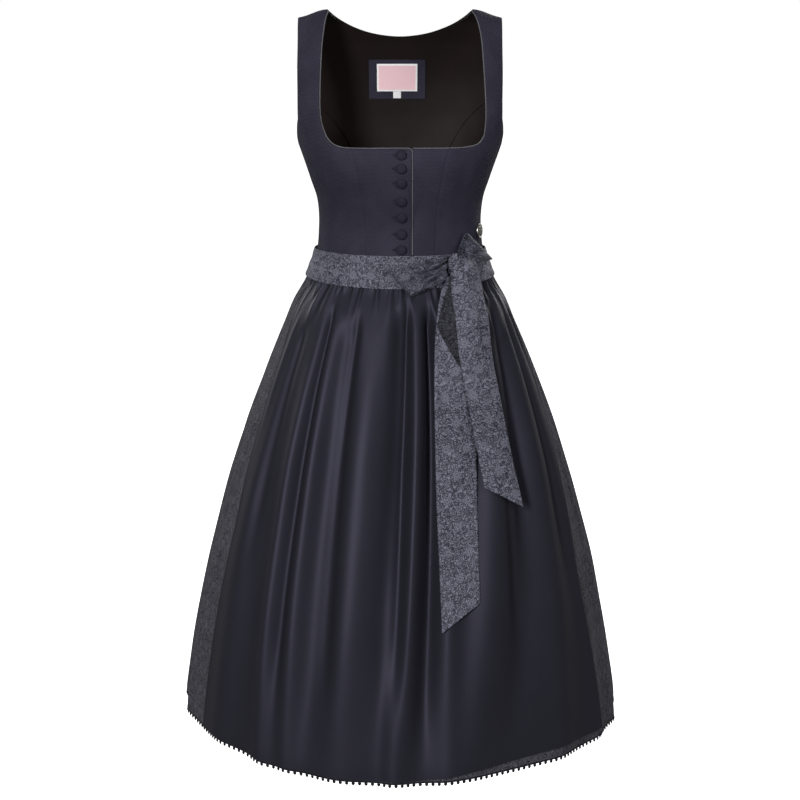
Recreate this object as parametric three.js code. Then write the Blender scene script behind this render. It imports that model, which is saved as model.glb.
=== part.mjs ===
import * as THREE from "three";

// A sleeveless midi dirndl, filled out and upright with no wearer in it: a fitted bodice with a square
// neckline and seven covered buttons, a gathered skirt with a picot edging, and a gathered apron whose
// band is tied in a bow at the wearer's left front.
// Millimetres. +Z is up, the front faces -Y, and +X is the wearer's left.
// The origin is midway between the shoulders, level with the tops of the straps.

// Driving dimensions
const WAIST = -360; // level of the seam between bodice and skirt
const HEM = -1045; // mean level of the skirt's lower edge
const SEAM = 0.3; // gap between pieces that are sewn together
const TIE_CLEARANCE = 0.7; // the tie ends lie loosely
const BODICE_WALL = 1.6; // shell cloth with its interlining
const SKIRT_WALL = 1.6;
const APRON_WALL = 1.5;
const BAND_WALL = 1.5; // the band and ties are double
const LINING_WALL = 1;
const LABEL_WALL = 1;

const STRAP_OUTER = 144.5; // half-width at the armhole edge, seen from the front
const SHOULDER_ROUNDING = 20; // height over which the straps turn across the shoulder
const SHOULDER_DROP = 12; // how much lower the strap's outer edge is
const SHOULDER_FADE = 140; // height over which that slope dies away
const ARMHOLE_TURN = -150; // level where the armhole edge starts to curve under the arm
const ARMHOLE_BASE = -187;
const NECK_FRONT = -187; // level of the straight lower edge of the front neckline
const NECK_BACK = -39; // level of the back neckline at its middle
const BUST_LIFT = 7;
const BUST_AT = { x: 78, level: -212, wide: 46, high: 40 };

const OVERLAP = 16; // the wearer's right front reaches this far past the centre
const UNDERLAP = -12; // and the left front this far under it
const BUTTON_RADIUS = 7.3;
const BUTTON_HEIGHT = 5.6;
// Each button's level, and the room under its foot, which is more in the hollow below the bust.
const BUTTONS = [
  { level: -195, seat: 0.2 },
  { level: -213, seat: 0.2 },
  { level: -233, seat: 0.5 },
  { level: -259, seat: 0.8 },
  { level: -283, seat: 0.95 },
  { level: -308, seat: 0.8 },
  { level: -330.5, seat: 0.8 },
];
const PIPING_RADIUS = 0.9;
const CORD_SIDES = 6;

const BAND_TOP = -339.5;
const BAND_BOTTOM = -380;
const BAND_SAG = 6; // the band's lower edge is this much lower in front
const APRON_TOP = -371;
const GATHERS = 66; // round the whole waist
const PICOTS = 108; // round the whole hem
const PICOT_DROP = 3.2;
const EDGING = 2.6; // height of the picots' footing tape

const radians = THREE.MathUtils.degToRad;
const smooth = (x, from, to) => THREE.MathUtils.smoothstep(x, from, to);
const mix = THREE.MathUtils.lerp;

// A table of sections with named columns. It is read at any level on a smooth curve through its rows.
function sections(columns, rows) {
  const names = columns.split(" ");
  const slope = (i, c) => {
    const above = rows[Math.max(i - 1, 0)];
    const below = rows[Math.min(i + 1, rows.length - 1)];
    return (below[c] - above[c]) / (below[0] - above[0]);
  };
  return (level) => {
    let i = 0;
    while (i < rows.length - 2 && level < rows[i + 1][0]) i++;
    const span = rows[i + 1][0] - rows[i][0];
    const u = THREE.MathUtils.clamp((level - rows[i][0]) / span, 0, 1);
    const curve = (c) =>
      (2 * u ** 3 - 3 * u ** 2 + 1) * rows[i][c] +
      (u ** 3 - 2 * u ** 2 + u) * span * slope(i, c) +
      (3 * u ** 2 - 2 * u ** 3) * rows[i + 1][c] +
      (u ** 3 - u ** 2) * span * slope(i + 1, c);
    return Object.fromEntries(names.map((name, c) => [name, curve(c)]));
  };
}

// Rings of the garment's outer form, before folds: a general figure above, the flared skirt below.
const RINGS = sections("level halfWidth front back squareness", [
  [0, 160, 24, 26, 2.6],
  [-20, 161, 36, 40, 2.6],
  [-50, 163, 58, 62, 2.6],
  [-100, 164, 86, 84, 2.6],
  [-150, 158, 104, 92, 2.5],
  [-187, 146.5, 113, 91, 2.4],
  [-215, 137, 115, 87, 2.3],
  [-240, 129, 109, 83, 2.2],
  [-265, 121, 99, 79, 2.1],
  [-290, 118, 90, 76, 2.05],
  [-317, 119, 87, 76, 2],
  [-341, 121.5, 88, 78, 2],
  [-364, 127.5, 93, 85, 2],
  [-388, 137, 101, 97, 2],
  [-418, 156, 118, 120, 2],
  [-448, 170, 133, 140, 2],
  [-509, 195, 158, 170, 2],
  [-571, 217, 180, 196, 2],
  [-633, 237, 199, 217, 2],
  [-727, 264, 227, 243, 2],
  [-824, 289, 253, 266, 2],
  [-922, 309, 275, 283, 2],
  [-1022, 325, 292, 297, 2],
  [-1060, 328.5, 296, 300, 2],
]);

// The front's princess seam and the back's, as distances from the middle.
const FRONT_SEAM = sections("level x", [
  [-187, 68],
  [-215, 61],
  [-250, 55],
  [-300, 51],
  [-362, 49],
]);
const BACK_SEAM = sections("level x", [
  [-118, STRAP_OUTER],
  [-135, 127],
  [-165, 98],
  [-210, 73],
  [-290, 50],
  [-362, 47],
]);
const BACK_SEAM_TOP = -118;

// The front neckline's side, which is the strap's inner edge, on the wearer's right and left. The dress
// hangs a little to one side, so the two differ.
const STRAP_INNER = sections("level right left", [
  [0, 102, 102],
  [-12, 106, 109.5],
  [-35, 109.5, 115.5],
  [-60, 111.5, 117.5],
  [-122, 113, 121],
  [-150, 111.5, 121.5],
  [-172, 104, 119],
]);
// The neckline's rounded corners: spots on the edge, and the slant there in degrees.
const CORNERS = {
  right: [
    { x: 68, level: NECK_FRONT, slant: 0 },
    { x: 82, level: -186.2, slant: 12 },
    { x: 95, level: -181.5, slant: 40 },
    { x: 104, level: -172, slant: 70 },
  ],
  left: [
    { x: 68, level: NECK_FRONT, slant: 0 },
    { x: 92, level: -186.7, slant: 6 },
    { x: 110, level: -183, slant: 36 },
    { x: 119, level: -172, slant: 76 },
  ],
};
const SIGN = { right: -1, left: 1 };

// Height of the gathers' ridges, and the room between skirt and apron, below the waist seam.
const GATHER_HEIGHT = sections("level height", [
  [-360, 0.6],
  [-385, 0.7],
  [-400, 2.2],
  [-425, 3.4],
  [-480, 2.6],
  [-560, 1],
  [-640, 0],
  [-1060, 0],
]);
const APRON_ROOM = sections("level room", [
  [-360, 1.2],
  [-386, 1.2],
  [-410, 2],
  [-450, 3],
  [-1060, 3.5],
]);

// The skirt's lower edge, by direction in degrees from the middle of the front.
const HEM_EDGE = sections("direction level", [
  [180, -1048],
  [120, -1054],
  [85, -1056],
  [62, -1050.5],
  [45, -1046],
  [24, -1044.5],
  [0, -1047],
  [-33, -1042.5],
  [-50, -1036],
  [-63, -1038],
  [-90, -1036],
  [-120, -1041],
  [-180, -1048],
]);

// The apron's side edges, in degrees from the middle of the front.
const APRON_EDGE = sections("level right left", [
  [-360, -70, 78],
  [-418, -68, 77],
  [-509, -66, 75],
  [-633, -65, 68.5],
  [-728, -63, 65],
  [-824, -63, 62.5],
  [-1060, -62, 63.5],
]);

// How far the apron ends above the skirt, by direction.
const APRON_ABOVE = sections("direction height", [
  [90, 9],
  [60, 12],
  [48, 14],
  [33, 14],
  [20, 10],
  [10, 5.5],
  [0, 3],
  [-90, 3],
]);

// The large folds: direction of each ridge at the waist and at the hem, its spread, all in degrees, its
// height at the hem, and the level where it starts.
const FOLDS = [
  ["waist", "hem", "spread", "height", "start"],
  [-78, -76, 5, 7, -480],
  [-58, -52, 5.5, 8, -470],
  [-42.5, -36.5, 3.6, 12, -400],
  [-32.5, -29, 3.2, 10, -400],
  [-11.5, -15, 6.5, 14, -400],
  [-0.5, -2.5, 2.4, 6, -600],
  [9.5, -0.5, 3.4, 12, -400],
  [20, 11, 3, 6, -600],
  [50, 15, 7.5, 13, -430],
  [63, 44, 5.5, 9, -430],
  [70, 63, 4.5, 6, -470],
  [80, 78, 5, 8, -480],
  [95, 93, 5, 9, -430],
  [108, 107, 6, 14, -400],
  [123, 124, 5, 10, -440],
  [138, 140, 6.5, 15, -400],
  [154, 155, 5, 11, -420],
  [168, 170, 6, 14, -400],
  [-176, -174, 5, 10, -450],
  [-162, -160, 6.5, 15, -400],
  [-147, -145, 5, 11, -430],
  [-133, -131, 6, 13, -400],
  [-118, -117, 5.5, 10, -430],
  [-103, -103, 6, 14, -400],
  [-91, -90, 4.5, 8, -470],
].slice(1);
const FOLD_GROWTH = 240; // height over which a fold comes up
const HEM_EASE = 0.4; // how far the folds in front flatten towards the hem
const HEM_EASE_START = -800; // the level where they begin to
const HEM_RISE = 0.2; // the hem is cut higher at a fold, so that it looks level from the front

// How far the form stands out over the bust at (x, level).
function bust(x, level) {
  const across = (Math.abs(x) - BUST_AT.x) / BUST_AT.wide;
  const up = (level - BUST_AT.level) / BUST_AT.high;
  return BUST_LIFT * Math.exp(-(across ** 2) - up ** 2);
}

// A point of the form. angle runs from 0 at the middle of the front to pi / 2 at the wearer's left side
// and pi at the back. level is the height before the shoulders' slope.
function form(angle, level) {
  const ring = RINGS(level);
  const across = Math.min(Math.abs(Math.sin(angle)), 1);
  const round = Math.min((level + SHOULDER_ROUNDING) / SHOULDER_ROUNDING, 1);
  const ridge = round > 0 ? Math.sqrt(Math.max(1 - round ** 2, 0)) : 1;
  const deep = Math.max(1 - across ** ring.squareness, 0) ** (1 / ring.squareness) * ridge;
  const x = ring.halfWidth * Math.sin(angle);
  const y = Math.cos(angle) > 0 ? -deep * (ring.front + bust(x, level)) : deep * ring.back;
  const slope = smooth(Math.abs(x), 102, STRAP_OUTER + 4) * smooth(level, -SHOULDER_FADE, 0);
  return new THREE.Vector3(x, y, level - SHOULDER_DROP * slope);
}

// The angle on the front of the form at a distance x from the middle, and the same on the back.
const frontAngle = (x, level) => Math.asin(Math.min(Math.max(x / RINGS(level).halfWidth, -1), 1));
const backAngle = (x, level) => Math.PI - frontAngle(x, level);

// The angle of a side seam's edge, half a seam gap in front of the side or behind it.
function sideAngle(level, depth) {
  const ring = RINGS(level);
  const deep = SEAM / 2 / depth(ring);
  return Math.asin((1 - deep ** ring.squareness) ** (1 / ring.squareness));
}
const sideFront = (level) => sideAngle(level, (ring) => ring.front);
const sideBack = (level) => Math.PI - sideAngle(level, (ring) => ring.back);

// The point of a surface at (u, v), moved out along its normal.
function lifted(surface, u, v, lift) {
  const du = 1e-4;
  const dv = Math.min(0.05, Math.abs(v) * 0.02) + 1e-6;
  const across = surface(u + du, v).sub(surface(u - du, v));
  const up = surface(u, v + dv).sub(surface(u, v - dv));
  return surface(u, v).addScaledVector(across.cross(up).normalize(), lift);
}

// 1 in the middle of the front, falling to 0 at the sides and behind them.
const frontward = (angle) => Math.max(Math.cos(angle), 0);

// How far the skirt's folds stand out.
function folds(angle, level) {
  const down = THREE.MathUtils.clamp((WAIST - level) / (WAIST - HEM), 0, 1);
  let height = 0;
  for (const [waist, hem, spread, tall, start] of FOLDS) {
    const ridge = radians(mix(waist, hem, down ** 0.8));
    const turn = Math.atan2(Math.sin(angle - ridge), Math.cos(angle - ridge));
    const grown = smooth(start - level, 0, FOLD_GROWTH) * (0.5 + 0.5 * down);
    height += tall * grown * Math.exp(-((turn / radians(spread)) ** 2));
  }
  const ease = HEM_EASE * (0.3 + 0.7 * frontward(angle));
  return height * (1 - ease * smooth(HEM_EASE_START - level, 0, HEM_EASE_START - HEM));
}

// How far the small gathers under the waist stand out.
function gathers(angle, level) {
  const uneven = 1.3 * Math.sin(5 * angle) + 0.8 * Math.sin(11 * angle + 1);
  const strength = 0.8 + 0.2 * Math.sin(7 * angle + 2);
  const wave = 0.5 + 0.5 * Math.cos(GATHERS * angle + uneven);
  return GATHER_HEIGHT(level).height * strength * wave;
}

// A sheet of cloth being cut: spots on a surface, and the triangles between rows of them.
function sheet(surface, wall) {
  const spots = [];
  const triangles = [];
  const row = (places) => places.map(([u, v, lift = 0]) => spots.push([u, v, lift]) - 1);
  // Joins two rows, the first with as many spots as the second, or with one more between each two.
  function join(lower, upper) {
    if (lower.length === upper.length)
      for (let k = 0; k + 1 < lower.length; k++)
        triangles.push(
          [lower[k], lower[k + 1], upper[k + 1]],
          [lower[k], upper[k + 1], upper[k]],
        );
    else if (upper.length === 2 * lower.length - 1)
      for (let k = 0; k + 1 < lower.length; k++)
        triangles.push(
          [lower[k], upper[2 * k + 1], upper[2 * k]],
          [lower[k], lower[k + 1], upper[2 * k + 1]],
          [lower[k + 1], upper[2 * k + 2], upper[2 * k + 1]],
        );
    else throw new Error("rows of " + lower.length + " and " + upper.length + " spots can't be joined");
  }
  const joinAll = (rows) => rows.slice(1).forEach((upper, k) => join(rows[k], upper));
  return { row, join, joinAll, triangles, solid: () => shell(surface, spots, triangles, wall) };
}

// The closed wall whose outer face is the given triangles, with the inner face a wall's thickness in.
function shell(surface, spots, triangles, wall) {
  const outer = spots.map(([u, v, lift]) => lifted(surface, u, v, lift));
  const inner = spots.map(([u, v, lift]) => lifted(surface, u, v, lift - wall));
  const count = spots.length;
  const index = [];
  const edges = new Map();
  for (const [a, b, c] of triangles) {
    index.push(a, b, c, count + c, count + b, count + a);
    for (const [from, to] of [[a, b], [b, c], [c, a]]) {
      if (edges.has(to + "," + from)) edges.delete(to + "," + from);
      else edges.set(from + "," + to, [from, to]);
    }
  }
  for (const [from, to] of edges.values())
    index.push(from, count + from, count + to, from, count + to, to);
  const points = [...outer, ...inner];
  let volume = 0;
  for (let i = 0; i < index.length; i += 3) {
    const [a, b, c] = [points[index[i]], points[index[i + 1]], points[index[i + 2]]];
    volume += a.dot(b.clone().cross(c));
  }
  if (volume < 0) index.reverse();
  return new THREE.BufferGeometry().setFromPoints(points).setIndex(index);
}

const dirndl = new THREE.Group();
const finish = (color, roughness = 0.85, metalness = 0) =>
  new THREE.MeshStandardMaterial({ color, roughness, metalness, side: THREE.DoubleSide });
const BODICE_CLOTH = finish(0x2b2b3a);
const APRON_CLOTH = finish(0x2e2d3e, 0.45);
const JACQUARD = finish(0x45454f, 0.7);
const TIE_CLOTH = finish(0x585868, 0.65);
const PIPING_CORD = finish(0x77777c);
const LINING_CLOTH = finish(0x1f1a18, 0.8);
const LABEL_CLOTH = finish(0xe3b9c5, 0.7);
const TAG_CLOTH = finish(0xf2eeee, 0.7);
const EDGING_YARN = finish(0x23232c);
const SILVER = finish(0x8f8b84, 0.45, 0.8);

function add(name, geometry, material) {
  const mesh = new THREE.Mesh(geometry, material);
  mesh.name = name;
  dirndl.add(mesh);
  return mesh;
}

const range = (count) => Array.from({ length: count + 1 }, (_, k) => k / count);

// Bodice. The centre fronts run from the princess seam to the front edge, with the right one on top.
const BODICE_ROWS = range(8);
function centreFront(name, outerX, edgeX, raised) {
  const cloth = sheet(form, BODICE_WALL);
  const columns = range(5);
  cloth.joinAll(
    BODICE_ROWS.map((up) => {
      const level = mix(WAIST, NECK_FRONT, up);
      return cloth.row(
        columns.map((k) => {
          const x = mix(outerX(level), edgeX, k);
          return [frontAngle(x, level), level, raised(x)];
        }),
      );
    }),
  );
  add(name, cloth.solid(), BODICE_CLOTH);
}
const OVERLAP_LIFT = BODICE_WALL + SEAM;
const overlapLift = (x) => OVERLAP_LIFT * smooth(x, -40, UNDERLAP - 4);
centreFront("centre_front_right", (z) => SEAM / 2 - FRONT_SEAM(z).x, OVERLAP, overlapLift);
centreFront("centre_front_left", (z) => FRONT_SEAM(z).x - SEAM / 2, UNDERLAP, () => 0);

// A side front runs from the princess seam to the side, and up into the strap. Its columns 0 to NECK end
// at the neckline's corner, NECK to ARM go up the strap, and the rest end under the arm.
const NECK = 3;
const ARM = 7;
const SIDE = 10;
const STRAP_ROWS = [0, 0.05, 0.11, 0.2, 0.38, 0.58, 0.76, 0.9, 0.97, 1];
const RIDGE = -0.0005; // the strap's end, half a seam gap from the top of the shoulder
const OUTER_TOPS = [-166, -160.5, -155, ARMHOLE_TURN, -169, -182, ARMHOLE_BASE]; // past the corner
function sideFrontPanel(name, hand) {
  const side = SIGN[hand];
  const corner = CORNERS[hand];
  const tops = [...corner.map((spot) => spot.level), ...OUTER_TOPS];
  const cloth = sheet(form, BODICE_WALL);
  const seamAngle = (level) => frontAngle(FRONT_SEAM(level).x + SEAM / 2, level);
  const topAngle = (k) => {
    if (k <= NECK) return frontAngle(corner[k].x, tops[k]);
    if (k <= ARM) return frontAngle(mix(corner[NECK].x, STRAP_OUTER, (k - NECK) / (ARM - NECK)), tops[k]);
    return mix(frontAngle(STRAP_OUTER, ARMHOLE_TURN), Math.PI / 2, (k - ARM) / (SIDE - ARM));
  };
  const spot = (k, up) => {
    const top = tops[k];
    const level = mix(WAIST, top, up);
    const shareAtTop = (topAngle(k) - seamAngle(top)) / (sideFront(top) - seamAngle(top));
    const inner = k === 0 ? 0 : mix(k / SIDE, shareAtTop, up);
    const share = k === SIDE ? 1 : inner;
    return [side * mix(seamAngle(level), sideFront(level), share), level];
  };
  const columns = range(SIDE).map((share) => Math.round(share * SIDE));
  const body = BODICE_ROWS.map((up) => cloth.row(columns.map((k) => spot(k, up))));
  cloth.joinAll(body);
  const strap = STRAP_ROWS.slice(1).map((up) =>
    cloth.row(
      columns.slice(NECK, ARM + 1).map((k) => {
        const level = mix(tops[k], RIDGE, up);
        const x = mix(STRAP_INNER(level)[hand], STRAP_OUTER, (k - NECK) / (ARM - NECK));
        return [side * frontAngle(x, level), level];
      }),
    ),
  );
  cloth.joinAll([body.at(-1).slice(NECK, ARM + 1), ...strap]);
  add(name, cloth.solid(), BODICE_CLOTH);
}
sideFrontPanel("side_front_right", "right");
sideFrontPanel("side_front_left", "left");

// The back neckline's level at a distance x from the middle.
function neckBack(x) {
  const half = STRAP_INNER(0).right;
  return NECK_BACK * Math.max(1 - (x / half) ** 2, 0) ** 0.78;
}
// The centre back is cut in one with the back of the straps. Its rows lie at these levels up to the
// armhole, then go on in shares of the way to the neckline.
const BACK_LEVELS = [WAIST, -322, -284, -248, -214, -185, -160, -138, BACK_SEAM_TOP];
const NECK_SHARES = [0.3, 0.58, 0.78, 0.89, 0.95, 1];
const BACK_COLUMNS = [0, 20, 41, 62, 83, 102, 123, STRAP_OUTER].map((x) => x / STRAP_OUTER);
const bothSides = (shares) => [...shares.slice(1).reverse().map((k) => -k), ...shares];
const centreBackHalf = (level) => (level < BACK_SEAM_TOP ? BACK_SEAM(level).x - SEAM / 2 : STRAP_OUTER);
function centreBack(name, wall, lift, inset, columns, neckShares, material) {
  const cloth = sheet(form, wall);
  const across = bothSides(columns);
  const spot = (k, level) => [backAngle(k * (centreBackHalf(level) - inset), level), level, lift];
  const top = (k) => Math.min(neckBack(Math.abs(k) * STRAP_OUTER), RIDGE);
  cloth.joinAll([
    ...BACK_LEVELS.map((level) => cloth.row(across.map((k) => spot(k, level)))),
    ...neckShares.map((up) => cloth.row(across.map((k) => spot(k, mix(BACK_SEAM_TOP, top(k), up))))),
  ]);
  add(name, cloth.solid(), material);
}
const LINING_LIFT = -BODICE_WALL - 1.1;
centreBack("centre_back", BODICE_WALL, 0, 0, BACK_COLUMNS, NECK_SHARES, BODICE_CLOTH);
// The dark lining that shows inside the back stops a little short of the edges.
const LINING_INSET = 1.5;
const LINING_COLUMNS = BACK_COLUMNS.filter((_, k) => k !== 1 && k !== 3);
centreBack(
  "back_lining", LINING_WALL, LINING_LIFT, LINING_INSET,
  LINING_COLUMNS, NECK_SHARES.slice(0, -1), LINING_CLOTH,
);

// A side back fills the space between the back's princess seam, the armhole and the side seam.
function sideBackPanel(name, side) {
  const cloth = sheet(form, BODICE_WALL);
  cloth.joinAll(
    BODICE_ROWS.map((up, k) =>
      cloth.row(
        range(5).map((share) => {
          const sideLevel = mix(WAIST, ARMHOLE_BASE, up);
          const level = mix(BACK_LEVELS[k], sideLevel, Math.sin((share * Math.PI) / 2));
          const seam = backAngle(BACK_SEAM(level).x + SEAM / 2, level);
          return [side * mix(seam, sideBack(level), share), level];
        }),
      ),
    ),
  );
  add(name, cloth.solid(), BODICE_CLOTH);
}
sideBackPanel("side_back_right", -1);
sideBackPanel("side_back_left", 1);

// A flat piece sewn inside the back, over the lining, with its half-widths and levels.
const LABEL_MIDDLE = -4.3; // it is sewn a little off the middle
function insideBack(name, lift, material, halves, levels) {
  const cloth = sheet(form, LABEL_WALL);
  const across = bothSides(halves).map((x) => x + LABEL_MIDDLE);
  cloth.joinAll(levels.map((level) => cloth.row(across.map((x) => [backAngle(x, level), level, lift]))));
  add(name, cloth.solid(), material);
}
const PATCH_LIFT = LINING_LIFT - LINING_WALL - 5 * SEAM;
const LABEL_LIFT = PATCH_LIFT - LABEL_WALL - 2 * SEAM;
insideBack("label_patch", PATCH_LIFT, BODICE_CLOTH, [0, 15, 30, 42], [-130, BACK_SEAM_TOP, -94, -70.5]);
insideBack("label", LABEL_LIFT, LABEL_CLOTH, [0, 15, 30], [-118, -94, -76]);
insideBack("size_tag", LABEL_LIFT, TAG_CLOTH, [0, 5.8], [-128.6, -124, -118.8]);

// Piping: a cord along the neckline's edge, which on the right front also runs down the front edge.
function cord(name, places) {
  const side = new THREE.Vector3(0, 0.3, 1);
  const points = places.flatMap((place, k) => {
    const ahead = places[Math.min(k + 1, places.length - 1)];
    const along = ahead.clone().sub(places[Math.max(k - 1, 0)]).normalize();
    side.addScaledVector(along, -side.dot(along)).normalize();
    const other = along.clone().cross(side);
    return range(CORD_SIDES).slice(1).map((k) => {
      const turn = k * 2 * Math.PI;
      const out = side.clone().multiplyScalar(Math.cos(turn)).addScaledVector(other, Math.sin(turn));
      return place.clone().addScaledVector(out, PIPING_RADIUS);
    });
  });
  const index = [];
  const last = (places.length - 1) * CORD_SIDES;
  for (let k = 1; k + 1 < CORD_SIDES; k++) index.push(0, k + 1, k, last, last + k, last + k + 1);
  for (let ring = 0; ring < last; ring += CORD_SIDES)
    for (let k = 0; k < CORD_SIDES; k++) {
      const next = (k + 1) % CORD_SIDES;
      const [a, b, c, d] = [ring + k, ring + next, ring + next + CORD_SIDES, ring + k + CORD_SIDES];
      index.push(a, b, c, a, c, d);
    }
  add(name, new THREE.BufferGeometry().setFromPoints(points).setIndex(index), PIPING_CORD);
}
const PIPING_OUT = PIPING_RADIUS + SEAM + 0.15; // from the cloth's edge to the cord's middle
// The cord's middle beside a point of the neckline, where the edge runs at a slant of so many degrees.
function neckCord(x, level, slant, lift = 0) {
  const away = Math.sign(x) * PIPING_OUT * Math.sin(radians(slant));
  const above = level + PIPING_OUT * Math.cos(radians(slant));
  return lifted(form, frontAngle(x - away, above), above, lift - BODICE_WALL / 2);
}
function strapCord(hand) {
  const side = SIGN[hand];
  const corner = CORNERS[hand];
  const strap = STRAP_ROWS.slice(1, -1).map((up) => {
    const level = mix(corner[NECK].level, RIDGE, up);
    return neckCord(side * STRAP_INNER(level)[hand], level, 90);
  });
  return [...strap.reverse(), ...corner.map((at) => neckCord(side * at.x, at.level, at.slant)).reverse()];
}
const frontEdgeCord = (level) =>
  lifted(form, frontAngle(OVERLAP + PIPING_OUT, level), level, PIPING_RADIUS + SEAM + 0.2);
const FRONT_RIGHT_X = range(5).map((k) => mix(-CORNERS.right[0].x, OVERLAP, k));
const FRONT_LEFT_X = [55, 42, 30, 21]; // the last one is where the right front covers it
cord("piping_right", [
  ...strapCord("right"),
  ...FRONT_RIGHT_X.slice(1, -1).map((x) => neckCord(x, NECK_FRONT, 0, overlapLift(x))),
  neckCord(OVERLAP - 2, NECK_FRONT, 0, OVERLAP_LIFT),
  neckCord(OVERLAP, NECK_FRONT, -45, OVERLAP_LIFT),
  ...[0.02, ...BODICE_ROWS.slice(1, -1), 0.88].map((down) => frontEdgeCord(mix(NECK_FRONT, WAIST, down))),
]);
cord("piping_left", [...strapCord("left"), ...FRONT_LEFT_X.map((x) => neckCord(x, NECK_FRONT, 0))]);

// Turns a solid made round +Y, with its base at the origin, to stand on the form at an angle and level.
function standOn(mesh, angle, level, lift) {
  const foot = lifted(form, angle, level, lift);
  const out = lifted(form, angle, level, lift + 1).sub(foot).normalize();
  const across = out.clone().cross(new THREE.Vector3(0, 0, 1)).normalize();
  const basis = new THREE.Matrix4().makeBasis(across, out, across.clone().cross(out));
  mesh.position.copy(foot);
  mesh.quaternion.setFromRotationMatrix(basis);
}

// Covered buttons: domes with a rounded rim, each on a short shank.
const BUTTON_PROFILE = [
  [0, 0], [0.35, 0], [0.35, 0.18], [0.95, 0.24], [1, 0.45], [0.84, 0.76], [0.45, 0.96], [0, 1],
].map(([r, h]) => new THREE.Vector2(r * BUTTON_RADIUS, h * BUTTON_HEIGHT));
BUTTONS.forEach(({ level, seat }, k) => {
  const button = add("button_" + (k + 1), new THREE.LatheGeometry(BUTTON_PROFILE, 10), BODICE_CLOTH);
  standOn(button, frontAngle(2, level), level, OVERLAP_LIFT + seat);
});

// The silver ornament sewn on beside the left side seam.
const ORNAMENT_RADIUS = 10.5;
const ORNAMENT_PROFILE = [
  [0, 0], [1, 0], [1, 1.7], [0.88, 2.1], [0.78, 1.4], [0.42, 1.7], [0, 2.6],
].map(([r, h]) => new THREE.Vector2(r * ORNAMENT_RADIUS, h));
const ORNAMENT = { angle: radians(74), level: -312 };
const ornament = add("side_ornament", new THREE.LatheGeometry(ORNAMENT_PROFILE, 16), SILVER);
standOn(ornament, ORNAMENT.angle, ORNAMENT.level, 2 * SEAM);

// Skirt. Its gathers show only beside the apron: under it the cloth follows the large folds alone.
const clearOfApron = (angle) => smooth(Math.abs(angle), radians(60), radians(68));
const skirtLift = (angle, level) => folds(angle, level) + clearOfApron(angle) * gathers(angle, level);
const FINE_LEVELS = [-392, -420, -465];
const COARSE_LEVELS = [-545, -650, -780, -920];
const APRON_COLUMNS = 38;
const BESIDE_COLUMNS = 9; // from each edge of the apron to the side seam
// The front's columns are the same under the apron as the apron's own.
function frontColumns(level) {
  const edge = APRON_EDGE(level);
  const [right, left, side] = [radians(edge.right), radians(edge.left), sideFront(level)];
  return [
    ...range(BESIDE_COLUMNS).map((k) => mix(-side, right, k)),
    ...range(APRON_COLUMNS).slice(1).map((k) => mix(right, left, k)),
    ...range(BESIDE_COLUMNS).slice(1).map((k) => mix(left, side, k)),
  ];
}
const backColumns = (level, count) => {
  const side = sideBack(level);
  return range(count).map((k) => mix(side, 2 * Math.PI - side, k));
};
// The level of the lower edge in a direction. A row at level HEM follows it.
function hemLevel(angle) {
  const turn = Math.atan2(Math.sin(angle), Math.cos(angle));
  const rise = HEM_RISE * folds(angle, HEM) * frontward(angle);
  return HEM_EDGE(THREE.MathUtils.radToDeg(turn)).level + rise;
}
const skirtRow = (cloth, level, angles) =>
  cloth.row(
    angles.map((angle) => {
      const lowered = level === HEM ? hemLevel(angle) : level;
      return [angle, lowered, skirtLift(angle, lowered)];
    }),
  );
function skirtFront() {
  const cloth = sheet(form, SKIRT_WALL);
  const levels = [HEM, ...COARSE_LEVELS.toReversed(), ...FINE_LEVELS.toReversed(), WAIST - SEAM];
  cloth.joinAll(levels.map((level) => skirtRow(cloth, level, frontColumns(level))));
  add("skirt_front", cloth.solid(), JACQUARD);
}
function skirtBack() {
  const cloth = sheet(form, SKIRT_WALL);
  const coarse = [HEM, ...COARSE_LEVELS.toReversed()];
  const fine = [...FINE_LEVELS.toReversed(), WAIST - SEAM];
  cloth.joinAll([
    ...coarse.map((level) => skirtRow(cloth, level, backColumns(level, 42))),
    ...fine.map((level) => skirtRow(cloth, level, backColumns(level, 84))),
  ]);
  add("skirt_back", cloth.solid(), JACQUARD);
}
skirtFront();
skirtBack();

// The picot edging under the hem: a narrow tape with pointed picots, in two lengths.
function edging(name, from, to, count) {
  const cloth = sheet(form, SKIRT_WALL);
  const at = (share, below) => {
    const angle = mix(from, to, share);
    return [angle, hemLevel(angle) - below, skirtLift(angle, HEM)];
  };
  const top = cloth.row(range(count).map((k) => at(k, SEAM)));
  const foot = cloth.row(range(count).map((k) => at(k, EDGING)));
  const tips = cloth.row(range(count).slice(1).map((k) => at(k - 0.5 / count, EDGING + PICOT_DROP)));
  cloth.join(foot, top);
  tips.forEach((tip, k) => cloth.triangles.push([foot[k], tip, foot[k + 1]]));
  add(name, cloth.solid(), EDGING_YARN);
}
const EDGE_GAP = 0.0005;
edging("edging_front", -Math.PI / 2 + EDGE_GAP, Math.PI / 2 - EDGE_GAP, PICOTS / 2);
edging("edging_back", Math.PI / 2 + EDGE_GAP, 1.5 * Math.PI - EDGE_GAP, PICOTS / 2);

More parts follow.
